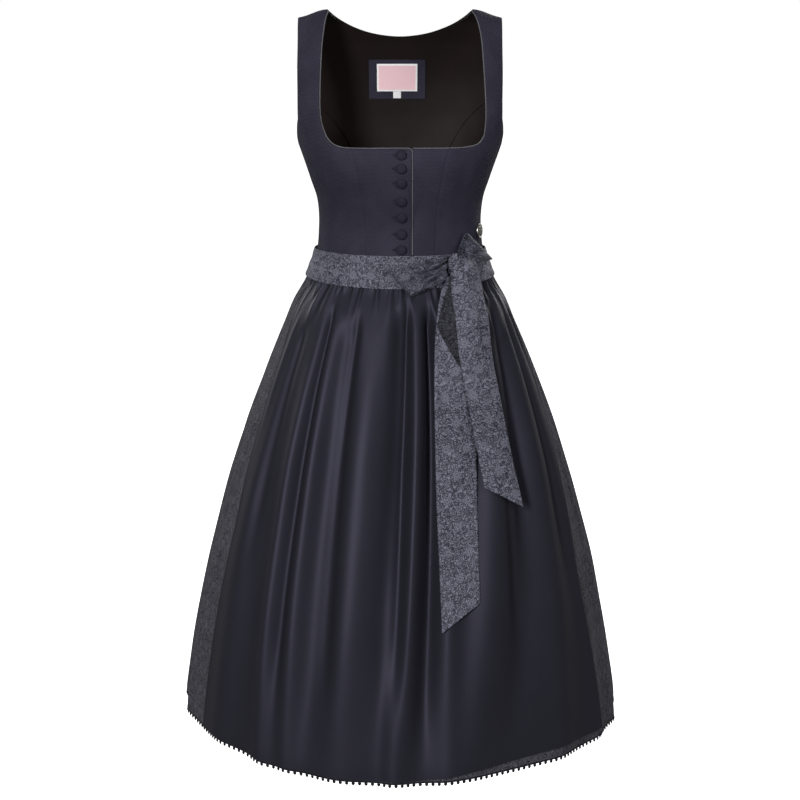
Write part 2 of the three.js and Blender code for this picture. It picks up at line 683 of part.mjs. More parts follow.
// Apron: the skirt's points moved out, with its own gathers under the band.
function apronLift(angle, level) {
  return folds(angle, level) + APRON_ROOM(level).room + APRON_WALL + gathers(angle, level);
}
const apronHem = (angle) => hemLevel(angle) + APRON_ABOVE(THREE.MathUtils.radToDeg(angle)).height;
function apron() {
  const cloth = sheet(form, APRON_WALL);
  const rowAt = (level, columns) =>
    cloth.row(
      range(columns).map((share) => {
        const edge = APRON_EDGE(level);
        const angle = radians(mix(edge.right, edge.left, share));
        const lowered = level === HEM ? apronHem(angle) : level;
        return [angle, lowered, apronLift(angle, lowered)];
      }),
    );
  cloth.joinAll([
    ...[HEM, ...COARSE_LEVELS.toReversed()].map((level) => rowAt(level, APRON_COLUMNS)),
    ...[...FINE_LEVELS.toReversed(), APRON_TOP].map((level) => rowAt(level, 2 * APRON_COLUMNS)),
  ]);
  add("apron", cloth.solid(), APRON_CLOTH);
}
apron();

// Band: the apron's band in front, and the ties that pass round the back.
const BAND_LIFT = sections("level lift", [
  [-338, 2.9],
  [-352, 3.4],
  [-364, 4.4],
  [-378, 4.9],
  [-400, 5],
]);
const bandLift = (level) => BAND_LIFT(level).lift + BAND_WALL;
const bandBottom = (angle) => BAND_BOTTOM - BAND_SAG * Math.max(Math.cos(angle), 0);
function band(name, from, to, columns) {
  const cloth = sheet(form, BAND_WALL);
  cloth.joinAll(
    [1, 0.72, 0.42, 0].map((down) =>
      cloth.row(
        range(columns).map((k) => {
          const angle = mix(from, to, k);
          const level = mix(BAND_TOP, bandBottom(angle), down);
          return [angle, level, bandLift(level)];
        }),
      ),
    ),
  );
  add(name, cloth.solid(), TIE_CLOTH);
}
const BAND_END = Math.PI / 2 - 0.0015;
band("apron_band", -BAND_END, BAND_END, 26);
band("tie_round_back", Math.PI - BAND_END, Math.PI + BAND_END, 26);

// The bow at the wearer's left front. Its pieces are laid out by distance from the middle and level.
const onFront = (x, level, lift) => lifted(form, frontAngle(x, level), level, lift);
const OVER_BAND = 6.4 + SEAM; // the band's outer face, and a gap
const KNOT = { x: 73, level: -354, halfWide: 10.5, halfHigh: 15, tall: 13 };
const KNOT_PROFILE = [
  [0, 0], [0.75, 0], [0.95, 0.18], [1, 0.45], [0.9, 0.75], [0.6, 0.95], [0, 1],
].map(([r, h]) => new THREE.Vector2(r, h * KNOT.tall));
const knotForm = new THREE.LatheGeometry(KNOT_PROFILE, 14).scale(KNOT.halfWide, 1, KNOT.halfHigh);
standOn(add("bow_knot", knotForm, TIE_CLOTH), frontAngle(KNOT.x, KNOT.level), KNOT.level, OVER_BAND);

// A loop goes out from the knot in front, turns over at its end and comes back behind. It is given by
// its two corners at the knot and at the turn, and by half its thickness.
function bowLoop(name, rootA, rootB, endA, endB, half) {
  const turnShare = 0.16;
  const surface = (u, v) => {
    const pinch = (s) => 0.5 + 0.5 * smooth(s, 0, 0.45);
    let out;
    let rise;
    if (u < 0.4) [out, rise] = [(u / 0.4) * (1 - turnShare), pinch(u / 0.4)];
    else if (u > 0.6) [out, rise] = [((1 - u) / 0.4) * (1 - turnShare), -pinch((1 - u) / 0.4)];
    else {
      const turn = ((u - 0.4) / 0.2) * Math.PI;
      [out, rise] = [1 - turnShare + turnShare * Math.sin(turn), Math.cos(turn)];
    }
    const at = (c) => mix(mix(rootA[c], rootB[c], v), mix(endA[c], endB[c], v), out);
    return onFront(at(0), at(1), OVER_BAND + half * (1 + rise));
  };
  const cloth = sheet(surface, BAND_WALL);
  const along = [0.002, 0.12, 0.26, 0.39, 0.44, 0.47, 0.53, 0.56, 0.61, 0.74, 0.88, 0.998];
  cloth.joinAll([0.002, 0.33, 0.67, 0.998].map((v) => cloth.row(along.map((u) => [u, v]))));
  add(name, cloth.solid(), TIE_CLOTH);
}
bowLoop("bow_loop_inner", [61, -338.5], [60.5, -375], [-16.5, -361.5], [14, -398.5], 6);
bowLoop("bow_loop_outer", [84.3, -356], [76.6, -339], [122, -357], [88, -309], 5.5);

// A tie end hangs from the knot over the apron's ridges. Its table gives its two edges by level, and
// its lower edge is cut on a slant.
const LONG_END = sections("level inner outer", [
  [-371, 62, 84],
  [-398, 54, 92],
  [-443, 47.5, 101],
  [-528, 46.5, 104],
  [-655, 49, 105],
  [-765, 53, 106.5],
  [-840, 55.5, 107],
]);
const SHORT_END = sections("level inner outer", [
  [-371, 67, 100],
  [-398, 69.5, 109],
  [-428, 73, 115.5],
  [-474, 78.5, 122.5],
  [-557, 93, 137],
  [-650, 109.5, 154],
  [-690, 117, 163],
]);
function tieEnd(name, edges, layer, innerEnd, outerEnd) {
  const bridge = (level) => {
    const { inner, outer } = edges(level);
    const ridges = range(8).map((k) => folds(frontAngle(mix(inner, outer, k), level), level));
    const apronTop = Math.max(...ridges) + APRON_ROOM(level).room + APRON_WALL + GATHER_HEIGHT(level).height;
    return Math.max(apronTop, OVER_BAND) + TIE_CLEARANCE + BAND_WALL + layer * (BAND_WALL + TIE_CLEARANCE);
  };
  const surface = (u, v) => {
    const level = mix(-371, mix(innerEnd, outerEnd, u), v);
    const { inner, outer } = edges(level);
    return onFront(mix(inner, outer, u), level, bridge(level));
  };
  const cloth = sheet(surface, BAND_WALL);
  const down = [0.0005, 0.05, 0.11, 0.18, 0.27, 0.38, 0.5, 0.63, 0.76, 0.88, 0.9995];
  cloth.joinAll(down.map((v) => cloth.row([0.001, 0.25, 0.5, 0.75, 0.999].map((u) => [u, v]))));
  add(name, cloth.solid(), TIE_CLOTH);
}
tieEnd("tie_end_long", LONG_END, 0, -840, -805);
tieEnd("tie_end_short", SHORT_END, 1, -653, -688);

export default dirndl;
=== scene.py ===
import math
from functools import partialmethod

import bpy
import numpy as np
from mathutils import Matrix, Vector


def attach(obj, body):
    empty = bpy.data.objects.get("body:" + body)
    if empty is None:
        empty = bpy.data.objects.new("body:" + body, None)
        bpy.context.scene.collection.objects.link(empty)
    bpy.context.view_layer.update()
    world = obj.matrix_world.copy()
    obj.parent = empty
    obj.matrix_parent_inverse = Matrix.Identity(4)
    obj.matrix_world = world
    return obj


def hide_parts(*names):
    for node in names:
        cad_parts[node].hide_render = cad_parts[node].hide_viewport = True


# The looks of a sleeveless midi dirndl. Shapes are worked out in millimetres on the same form as the
# solids: an angle runs from 0 at the middle of the front to pi / 2 at the wearer's left side and pi at
# the back, and a level is a height below the shoulders. Meshes are made in metres.

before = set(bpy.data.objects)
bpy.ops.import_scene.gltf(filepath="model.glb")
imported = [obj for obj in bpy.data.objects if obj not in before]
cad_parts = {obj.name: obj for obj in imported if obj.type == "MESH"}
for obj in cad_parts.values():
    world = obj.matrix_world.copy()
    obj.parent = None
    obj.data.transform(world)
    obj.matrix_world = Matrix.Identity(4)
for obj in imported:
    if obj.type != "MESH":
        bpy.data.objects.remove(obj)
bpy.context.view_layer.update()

MM = 0.001

# Camera, at the photo's height and angle
CAMERA_BACK = 2400
CAMERA_LEVEL = 20
AIM_LEVEL = -570.59
SENSOR = 36
LENS = 74.148
camera_data = bpy.data.cameras.new("camera")
camera = bpy.data.objects.new("camera", camera_data)
bpy.context.scene.collection.objects.link(camera)
camera_data.sensor_width = SENSOR
camera_data.lens = LENS
camera.location = Vector((0, -CAMERA_BACK, CAMERA_LEVEL)) * MM
camera.rotation_euler = (math.pi / 2 - math.atan2(CAMERA_LEVEL - AIM_LEVEL, CAMERA_BACK), 0, 0)
bpy.context.scene.camera = camera

# The form
WAIST, HEM = -360, -1045
SEAM = 0.3
TIE_CLEARANCE = 0.7
BODICE_WALL, SKIRT_WALL, APRON_WALL, BAND_WALL = 1.6, 1.6, 1.5, 1.5
LINING_WALL, LABEL_WALL = 1, 1
STRAP_OUTER = 144.5
ARMHOLE_TURN, ARMHOLE_BASE = -150, -187
NECK_FRONT, NECK_BACK = -187, -39
OVERLAP, UNDERLAP = 16, -12
BAND_TOP, BAND_BOTTOM, BAND_SAG = -339.5, -380, 6
APRON_TOP = -371
EDGING = 2.6
SIGN = {"right": -1, "left": 1}


class Sections:
    """Columns of a table by level, read on a smooth curve through its rows."""

    def __init__(self, *rows):
        self.rows = np.array(rows, float)
        last = len(rows) - 1
        above = self.rows[[0, *range(last)]]
        below = self.rows[[*range(1, last + 1), last]]
        self.slopes = (below - above) / (below[:, :1] - above[:, :1])

    def __call__(self, level):
        level = np.asarray(level, float)
        place = np.zeros(level.shape, int)
        for row in self.rows[1:-1]:
            place += level < row[0]
        start, end = self.rows[place], self.rows[place + 1]
        span = end[..., :1] - start[..., :1]
        u = np.clip((level[..., None] - start[..., :1]) / span, 0, 1)
        curve = (
            (2 * u**3 - 3 * u**2 + 1) * start
            + (u**3 - 2 * u**2 + u) * span * self.slopes[place]
            + (3 * u**2 - 2 * u**3) * end
            + (u**3 - u**2) * span * self.slopes[place + 1]
        )
        return np.moveaxis(curve[..., 1:], -1, 0)


# Level, half-width, depth in front and behind, squareness
RINGS = Sections(
    [0, 160, 24, 26, 2.6],
    [-20, 161, 36, 40, 2.6],
    [-50, 163, 58, 62, 2.6],
    [-100, 164, 86, 84, 2.6],
    [-150, 158, 104, 92, 2.5],
    [-187, 146.5, 113, 91, 2.4],
    [-215, 137, 115, 87, 2.3],
    [-240, 129, 109, 83, 2.2],
    [-265, 121, 99, 79, 2.1],
    [-290, 118, 90, 76, 2.05],
    [-317, 119, 87, 76, 2],
    [-341, 121.5, 88, 78, 2],
    [-364, 127.5, 93, 85, 2],
    [-388, 137, 101, 97, 2],
    [-418, 156, 118, 120, 2],
    [-448, 170, 133, 140, 2],
    [-509, 195, 158, 170, 2],
    [-571, 217, 180, 196, 2],
    [-633, 237, 199, 217, 2],
    [-727, 264, 227, 243, 2],
    [-824, 289, 253, 266, 2],
    [-922, 309, 275, 283, 2],
    [-1022, 325, 292, 297, 2],
    [-1060, 328.5, 296, 300, 2],
)
FRONT_SEAM = Sections([-187, 68], [-215, 61], [-250, 55], [-300, 51], [-362, 49])
BACK_SEAM_TOP = -118
BACK_SEAM = Sections(
    [BACK_SEAM_TOP, STRAP_OUTER], [-135, 127], [-165, 98], [-210, 73], [-290, 50], [-362, 47]
)
STRAP_INNER = Sections(
    [0, 102, 102],
    [-12, 106, 109.5],
    [-35, 109.5, 115.5],
    [-60, 111.5, 117.5],
    [-122, 113, 121],
    [-150, 111.5, 121.5],
    [-172, 104, 119],
)
# Spots on the neckline's rounded corners, and the slant of the edge there in degrees
CORNERS = {
    "right": [(68, NECK_FRONT, 0), (82, -186.2, 12), (95, -181.5, 40), (104, -172, 70)],
    "left": [(68, NECK_FRONT, 0), (92, -186.7, 6), (110, -183, 36), (119, -172, 76)],
}
GATHER_HEIGHT = Sections(
    [-360, 0.6], [-385, 0.7], [-400, 2.2], [-425, 3.4], [-480, 2.6], [-560, 1], [-640, 0], [-1060, 0]
)
APRON_ROOM = Sections([-360, 1.2], [-386, 1.2], [-410, 2], [-450, 3], [-1060, 3.5])
HEM_EDGE = Sections(
    [180, -1048],
    [120, -1054],
    [85, -1056],
    [62, -1050.5],
    [45, -1046],
    [24, -1044.5],
    [0, -1047],
    [-33, -1042.5],
    [-50, -1036],
    [-63, -1038],
    [-90, -1036],
    [-120, -1041],
    [-180, -1048],
)
APRON_EDGE = Sections(
    [-360, -70, 78],
    [-418, -68, 77],
    [-509, -66, 75],
    [-633, -65, 68.5],
    [-728, -63, 65],
    [-824, -63, 62.5],
    [-1060, -62, 63.5],
)
BAND_LIFT = Sections([-338, 2.9], [-352, 3.4], [-364, 4.4], [-378, 4.9], [-400, 5])

# Large folds: direction at the waist and at the hem, spread, height at the hem, level where it starts
FOLDS = [
    (-78, -76, 5, 7, -480),
    (-58, -52, 5.5, 8, -470),
    (-42.5, -36.5, 3.6, 12, -400),
    (-32.5, -29, 3.2, 10, -400),
    (-11.5, -15, 6.5, 14, -400),
    (-0.5, -2.5, 2.4, 6, -600),
    (9.5, -0.5, 3.4, 12, -400),
    (20, 11, 3, 6, -600),
    (50, 15, 7.5, 13, -430),
    (63, 44, 5.5, 9, -430),
    (70, 63, 4.5, 6, -470),
    (80, 78, 5, 8, -480),
    (95, 93, 5, 9, -430),
    (108, 107, 6, 14, -400),
    (123, 124, 5, 10, -440),
    (138, 140, 6.5, 15, -400),
    (154, 155, 5, 11, -420),
    (168, 170, 6, 14, -400),
    (-176, -174, 5, 10, -450),
    (-162, -160, 6.5, 15, -400),
    (-147, -145, 5, 11, -430),
    (-133, -131, 6, 13, -400),
    (-118, -117, 5.5, 10, -430),
    (-103, -103, 6, 14, -400),
    (-91, -90, 4.5, 8, -470),
]
FOLD_GROWTH = 240
# The folds flatten towards the hem, and the hem is cut level as seen from the front
HEM_EASE, HEM_EASE_START, HEM_RISE = 0.4, -800, 0.2
# In front the folds stand out a little more than the solids' do
FRONT_DEPTH = 0.4

# Smaller creases, placed one by one: direction at the top and at the foot, spread, height (below 0 for
# a trough), and the levels of the top and the foot
CREASES = [
    (-66, -64, 2.2, -2.5, -440, -700),
    (-60, -60, 1.6, 1.8, -420, -640),
    (-52, -50, 2.4, -3, -430, -820),
    (-37.3, -33.5, 2, -6, -400, -1000),
    (-26, -22, 4.4, -6, -420, -1060),
    (-21.5, -19, 2.2, -5, -410, -1000),
    (1, -4, 3.6, -8, -405, -1020),
    (4.4, -2.2, 1.8, -7, -395, -1000),
    (15.4, 4.6, 2.7, -14, -400, -1060),
    (24, 15, 2.4, -3, -440, -800),
    (33, 27, 2, -3, -420, -640),
    (42, 33, 2.2, -3.5, -420, -900),
    (38, 38, 1.4, 2, -390, -560),
    (57, 40, 2.6, -4.5, -400, -760),
    (58, 27, 5, -6, -440, -1060),
    (31, 12, 5, -4, -560, -1060),
    (50, 50, 1.5, 2.2, -390, -520),
    (67, 56, 2.2, -3, -410, -860),
    (74, 70, 1.5, -2.4, -400, -600),
    (76, 76, 2, -2, -620, -1000),
    (87, 86, 2, -3, -450, -900),
    (101, 100, 1.8, -3.5, -400, -960),
    (115, 116, 2.1, -3.5, -400, -1060),
    (119, 119, 1.5, 2, -400, -620),
    (131, 133, 1.9, -4, -400, -880),
    (146, 148, 2.2, -4, -400, -1060),
    (150, 151, 1.3, 2, -420, -600),
    (161, 162, 1.8, -3.5, -400, -820),
    (175, 177, 2, -4, -400, -1060),
    (180, 181, 1.5, 2, -400, -560),
    (-169, -167, 2.1, -4, -400, -930),
    (-155, -153, 1.8, -4, -400, -1060),
    (-150, -150, 1.4, 2, -400, -620),
    (-140, -138, 2.2, -3.5, -400, -860),
    (-125, -124, 1.9, -3.5, -400, -1060),
    (-121, -121, 1.3, 2, -400, -560),
    (-111, -110, 2, -3.5, -400, -900),
    (-97, -97, 2, -3, -400, -1000),
    (-84, -83, 1.8, -3, -440, -820),
    (-72, -71, 1.6, 1.6, -560, -980),
]
CREASE_RISE, CREASE_FADE = 40, 160


def smooth(x, start, end):
    t = np.clip((x - start) / (end - start), 0, 1)
    return t * t * (3 - 2 * t)


def mix(a, b, share):
    return a + (b - a) * share


# The bust: how far it stands out, its middle, and its width and height
BUST_OUT, BUST_X, BUST_LEVEL, BUST_WIDE, BUST_HIGH = 7, 78, -212, 46, 40
# The straps turn over the shoulders within their roundness, and slope down outwards from their inner
# edge, the more the higher they are.
SHOULDER_ROUND, SLOPE_START, SLOPE_FOOT, SLOPE_DROP = 20, 102, -140, 12


def form(angle, level):
    half, front, back, square = RINGS(level)
    across = np.minimum(np.abs(np.sin(angle)), 1)
    turned = np.minimum((level + SHOULDER_ROUND) / SHOULDER_ROUND, 1)
    ridge = np.where(turned > 0, np.sqrt(np.maximum(1 - turned**2, 0)), 1)
    deep = np.maximum(1 - across**square, 0) ** (1 / square) * ridge
    x = half * np.sin(angle)
    beside, above = (np.abs(x) - BUST_X) / BUST_WIDE, (level - BUST_LEVEL) / BUST_HIGH
    bust = BUST_OUT * np.exp(-(beside**2) - above**2)
    y = np.where(np.cos(angle) > 0, -deep * (front + bust), deep * back)
    slope = smooth(np.abs(x), SLOPE_START, STRAP_OUTER + 4) * smooth(level, SLOPE_FOOT, 0)
    return np.stack(np.broadcast_arrays(x, y, level - SLOPE_DROP * slope), -1)


def front_angle(x, level):
    return np.arcsin(np.clip(x / RINGS(level)[0], -1, 1))


def back_angle(x, level):
    return math.pi - front_angle(x, level)


def side_angle(level, depth):
    ring = RINGS(level)
    deep = SEAM / 2 / ring[depth]
    return np.arcsin((1 - deep ** ring[3]) ** (1 / ring[3]))


def side_front(level):
    return side_angle(level, 1)


def side_back(level):
    return math.pi - side_angle(level, 2)


def unit(vectors):
    return vectors / np.linalg.norm(vectors, axis=-1, keepdims=True)


def lifted(surface, u, v, lift):
    """Points of a surface moved out along its normal."""
    du = 1e-4
    dv = np.minimum(0.05, np.abs(v) * 0.02) + 1e-6
    across = surface(u + du, v) - surface(u - du, v)
    up = surface(u, v + dv) - surface(u, v - dv)
    return surface(u, v) + unit(np.cross(across, up)) * np.asarray(lift)[..., None]


def on_front(x, level, lift):
    """Places in front by their distance from the middle, moved out from the form."""
    return lifted(form, front_angle(x, level), level, lift)


def wrapped(angle):
    return np.arctan2(np.sin(angle), np.cos(angle))


def turned_by(angle, direction):
    return wrapped(angle - np.radians(direction))


def frontward(angle):
    """1 at the middle of the front, falling to 0 at the sides and behind."""
    return np.maximum(np.cos(angle), 0)


def folds(angle, level):
    """How far the skirt's large folds and smaller creases stand out."""
    down = np.clip((WAIST - level) / (WAIST - HEM), 0, 1)
    height = 0
    for at_waist, at_hem, spread, tall, start in FOLDS:
        turn = turned_by(angle, mix(at_waist, at_hem, down**0.8))
        grown = smooth(start - level, 0, FOLD_GROWTH) * (0.5 + 0.5 * down)
        height = height + tall * grown * np.exp(-((turn / math.radians(spread)) ** 2))
    for at_top, at_foot, spread, tall, top, foot in CREASES:
        along = np.clip((top - level) / (top - foot), 0, 1)
        turn = turned_by(angle, mix(at_top, at_foot, along**0.8))
        strength = smooth(top - level, 0, CREASE_RISE) * smooth(level - foot, 0, CREASE_FADE)
        height = height + tall * strength * np.exp(-((turn / math.radians(spread)) ** 2))
    front = frontward(angle)
    eased = HEM_EASE * front * smooth(HEM_EASE_START - level, 0, HEM_EASE_START - HEM)
    return height * (1 + FRONT_DEPTH * front) * (1 - eased)


def short_gathers(seed, start, end):
    """Short soft ridges under the waist, uneven in spacing, spread, height and length."""
    chance = np.random.default_rng(seed)
    found = []
    while start < end:
        drift, spread = chance.uniform(-1.6, 1.6), chance.uniform(0.8, 1.8)
        found.append((start, drift, spread, chance.uniform(1.4, 4.2), chance.uniform(22, 85)))
        start += chance.uniform(2.8, 6.8)
    return found


SKIRT_GATHERS = short_gathers(4, -180, 178)
APRON_GATHERS = short_gathers(9, -74, 50)
APRON_GATHERS += [
    (55, -1, 1.7, 3.4, 70),
    (62.5, -2, 1.5, 3.8, 60),
    (69, -1.5, 1.4, 3.2, 75),
    (74, 0, 1.1, 2, 50),
]
# The level from which the gathers spread out, and those between which they rise out of the band
GATHER_TOP = -374
GATHER_START, GATHER_FULL = -368, -384


def gathers(angle, level, table):
    """How far the short gathers of a table stand out."""
    height = 0
    for direction, drift, spread, tall, length in table:
        along = np.clip((GATHER_TOP - level) / length, 0, 1)
        turn = turned_by(angle, direction + drift * along)
        strength = smooth(-level, -GATHER_START, -GATHER_FULL) * (1 - smooth(along, 0.15, 1))
        wide = np.radians(spread * (0.8 + 0.8 * along))
        height = height + tall * strength * np.exp(-((turn / wide) ** 2))
    return height


# Meshes


def lengths_along(points, axis=0):
    """The lengths from the start of a line, or of each line of a grid, to each of its places."""
    lengths = np.cumsum(np.linalg.norm(np.diff(points, axis=axis), axis=-1), axis)
    return np.concatenate([np.zeros_like(lengths.take([0], axis)), lengths], axis)


def read_at(distance, lengths, table):
    """A table's rows at distances along the line that it follows."""
    return np.stack([np.interp(distance, lengths, column) for column in table.T], -1)


def ring_quads(rings, sides):
    """The faces between rings of spots, each ring closed."""
    ring, around = np.arange(rings - 1)[:, None] * sides, np.arange(sides)[None]
    following = (around + 1) % sides
    corners = [ring + around, ring + around + sides, ring + following + sides, ring + following]
    return np.stack(corners, -1).reshape(-1, 4)


# The order of a face's corners that turns it over
TURNED_OVER = [0, 3, 2, 1]


def repeated(faces, spots, count):
    """The faces of count pieces in a row, where faces are those of one piece of so many spots."""
    return (faces[None] + spots * np.arange(count)[:, None, None]).reshape(-1, faces.shape[1])


def make_mesh(name, points, quads, plan, materials, faces_of=None, sharp=50):
    """A mesh in metres from points in millimetres, with the flat cloth's coordinates in metres."""
    mesh = bpy.data.meshes.new(name)
    quads = np.ascontiguousarray(quads, np.int32)
    mesh.vertices.add(len(points))
    mesh.vertices.foreach_set("co", (np.asarray(points) * MM).astype(np.float32).ravel())
    mesh.loops.add(quads.size)
    mesh.loops.foreach_set("vertex_index", quads.ravel())
    mesh.polygons.add(len(quads))
    mesh.polygons.foreach_set("loop_start", np.arange(0, quads.size, quads.shape[1], dtype=np.int32))
    if faces_of is not None:
        mesh.polygons.foreach_set("material_index", np.ascontiguousarray(faces_of, np.int32))
    mesh.update(calc_edges=True)
    layer = mesh.uv_layers.new(name="cloth")
    layer.data.foreach_set("uv", (np.asarray(plan)[quads.ravel()] * MM).astype(np.float32).ravel())
    mesh.validate()
    for material in materials:
        mesh.materials.append(material)
    mesh.shade_smooth()
    mesh.set_sharp_from_angle(angle=math.radians(sharp))
    piece = bpy.data.objects.new(name + "_looks", mesh)
    bpy.context.scene.collection.objects.link(piece)
    return piece


def settle(piece, slot, *nodes):
    """The piece rides on the dress and stands for its solids. slot is not used."""
    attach(piece, "root")
    if nodes:
        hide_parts(*nodes)
    return piece


# The share of its wall by which a sheet's edge is thinner on each face
EDGE_THIN = 0.3


class Cloth:
    """A sheet laid out in grids of spots on a surface, with a wall's thickness inside it."""

    def __init__(self, surface, wall):
        self.surface, self.wall = surface, wall
        self.outer, self.inner, self.plan, self.quads, self.mark = [], [], [], [], []
        self.count = 0

    def grid(self, u, v, lift=0.0, plan=None, before=None, mark=0):
        """Adds rows of spots from below up. plan gives the flat coordinates, or else they follow the
        lengths along the grid. before is a row that the first one is joined to."""
        u, v, lift = np.broadcast_arrays(
            np.asarray(u, float), np.asarray(v, float), np.asarray(lift, float)
        )
        outer = lifted(self.surface, u, v, lift)
        if plan is None:
            across = lengths_along(outer, 1)
            plan = (across - across[:, across.shape[1] // 2][:, None], lengths_along(outer))
        index = self.count + np.arange(u.size).reshape(u.shape)
        self.outer.append(outer.reshape(-1, 3))
        self.inner.append(lifted(self.surface, u, v, lift - self.wall).reshape(-1, 3))
        self.plan.append(np.stack(np.broadcast_arrays(*plan, u)[:2], -1).reshape(-1, 2))
        self.count += u.size
        rows = index if before is None else np.vstack([before[None], index])
        self.quads.append(
            np.stack([rows[:-1, :-1], rows[:-1, 1:], rows[1:, 1:], rows[1:, :-1]], -1).reshape(-1, 4)
        )
        self.mark.append(np.broadcast_to(mark, (rows.shape[0] - 1, rows.shape[1] - 1)).ravel())
        return index

    def piece(self, name, slot, outside, inside=None, other=None):
        """Closes the sheet into a shell, and makes its object. inside is the material of its inner
        face, and other that of the outer faces that are marked."""
        outer, inner = np.concatenate(self.outer), np.concatenate(self.inner)
        quads, mark = np.concatenate(self.quads), np.concatenate(self.mark)
        start = quads.ravel()
        end = np.roll(quads, -1, 1).ravel()
        forward, backward = start * self.count + end, end * self.count + start
        border = ~np.isin(backward, forward)
        edge = np.unique(start[border])
        shrink = (inner[edge] - outer[edge]) * EDGE_THIN
        outer[edge] += shrink
        inner[edge] -= shrink
        a, b = start[border], end[border]
        walls = np.stack([a, a + self.count, b + self.count, b], -1)
        faces = np.concatenate([quads, quads[:, ::-1] + self.count, walls])
        plan = np.concatenate(self.plan)
        materials = [outside, inside or outside, *([other] if other else [])]
        faces_of = np.concatenate([mark * 2, np.ones(len(quads), int), np.zeros(len(walls), int)])
        made = make_mesh(
            name, np.concatenate([outer, inner]), faces, np.concatenate([plan, plan]), materials, faces_of
        )
        return settle(made, slot, name)


# Patterns are written as sums of fields, which the shader's nodes work out at each point.


class Field:
    """A number at each point of a surface, held by the socket that gives it."""

    def __init__(self, socket):
        self.socket, self.tree = socket, socket.id_data

    def math(self, operation, *others):
        inputs = dict(enumerate((self, *others)))
        return Field(add_node(self.tree, "ShaderNodeMath", inputs, operation=operation).outputs[0])

    __add__ = partialmethod(math, "ADD")
    __sub__ = partialmethod(math, "SUBTRACT")
    __mul__ = partialmethod(math, "MULTIPLY")
    __truediv__ = partialmethod(math, "DIVIDE")
    power = partialmethod(math, "POWER")
    max = partialmethod(math, "MAXIMUM")
    sin = partialmethod(math, "SINE")
    abs = partialmethod(math, "ABSOLUTE")
    fract = partialmethod(math, "FRACT")

    def ramp(self, start, end):
        """0 before start, 1 after end, and smooth between them. It may run down as well."""
        low, high = (0, 1) if start < end else (1, 0)
        inputs = {"Value": self, "From Min": min(start, end), "From Max": max(start, end)}
        inputs.update({"To Min": low, "To Max": high})
        node = add_node(self.tree, "ShaderNodeMapRange", inputs, interpolation_type="SMOOTHSTEP")
        return Field(node.outputs["Result"])

    def line(self, width, soft):
        """1 where the field is near 0, within a width, and 0 away from it."""
        return self.abs().ramp(width + soft, width)


def set_inputs(node, inputs):
    """Sets a node's inputs, by name or place. One that is given as a field or a socket is linked."""
    for place, value in inputs.items():
        value = value.socket if isinstance(value, Field) else value
        if isinstance(value, bpy.types.NodeSocket):
            node.id_data.links.new(value, node.inputs[place])
        else:
            node.inputs[place].default_value = value


def add_node(tree, kind, inputs, **settings):
    node = tree.nodes.new(kind)
    for setting, value in settings.items():
        setattr(node, setting, value)
    set_inputs(node, inputs)
    return node


def plan_of(surface):
    """The flat cloth's two coordinates in millimetres."""
    tree = surface.id_data
    plan = add_node(tree, "ShaderNodeUVMap", {}, uv_map="cloth").outputs["UV"]
    apart = add_node(tree, "ShaderNodeSeparateXYZ", {0: plan})
    return Field(apart.outputs["X"]) / MM, Field(apart.outputs["Y"]) / MM


def noise(x, y, size_x, size_y, detail, seed):
    place = add_node(x.tree, "ShaderNodeCombineXYZ", {0: x / size_x, 1: y / size_y, 2: seed})
    inputs = {"Scale": 1, "Detail": detail, "Vector": place.outputs[0]}
    return Field(add_node(x.tree, "ShaderNodeTexNoise", inputs).outputs[0])


def new_material(name, colour, roughness, specular, metallic=0.0, tint=(1, 1, 1)):
    material = bpy.data.materials.new(name)
    material.use_nodes = True
    material.diffuse_color = (*colour, 1)
    surface = material.node_tree.nodes["Principled BSDF"]
    inputs = {"Base Color": (*colour, 1), "Roughness": roughness, "Specular IOR Level": specular}
    set_inputs(surface, {**inputs, "Specular Tint": (*tint, 1), "Metallic": metallic})
    return material, surface


def paint(surface, share, colour, other):
    """The surface's colour goes from colour to other by a field from 0 to 1."""
    inputs = {"Factor": share, 6: (*colour, 1), 7: (*other, 1)}
    mixed = add_node(surface.id_data, "ShaderNodeMix", inputs, data_type="RGBA")
    set_inputs(surface, {"Base Color": mixed.outputs[2]})


def relief(surface, height, distance):
    """Fine relief, its height in millimetres where the field is 1."""
    bump = add_node(surface.id_data, "ShaderNodeBump", {"Distance": distance * MM, "Height": height})
    set_inputs(surface, {"Normal": bump.outputs[0]})


def lattice(x, y, pitch_x, pitch_y, shift=0.5):
    """Distances from the nearest point of a staggered lattice."""
    row = y / pitch_y
    odd = (row.math("FLOOR") * 0.5).fract() * 2
    column = x / pitch_x + odd * shift
    return (column.fract() - 0.5) * pitch_x, (row.fract() - 0.5) * pitch_y


def polar(x, y):
    return (x * x + y * y).power(0.5), y.math("ARCTAN2", x)


def blossom(x, y, pitch_x, pitch_y, radius, petals):
    """Small outlined flowers on a lattice, and how near their middle a point is."""
    r, turn = polar(*lattice(x, y, pitch_x, pitch_y))
    edge = (turn * (petals / 2)).sin().abs().power(0.7) * (radius * 0.62) + radius * 0.38
    outline = (r - edge).line(0.3, 0.55)
    heart = (r - radius * 0.2).line(0.3, 0.4)
    return outline.max(heart), r


def curls(x, y, pitch_x, pitch_y, coil, hand):
    """Curled tendrils: a spiral line round each point of a lattice."""
    r, turn = polar(*lattice(x, y, pitch_x, pitch_y))
    spiral = ((turn / (2 * math.pi) + r * (hand / coil) + 4).fract() - 0.5) * coil
    return spiral.line(0.3, 0.7) * r.ramp(pitch_x * 0.5, pitch_x * 0.4) * r.ramp(1, 2)


# The size of the jacquard's figures beside the sizes written below
JACQUARD_SCALE = 0.6
REPEAT_X, REPEAT_Y = 47, 57


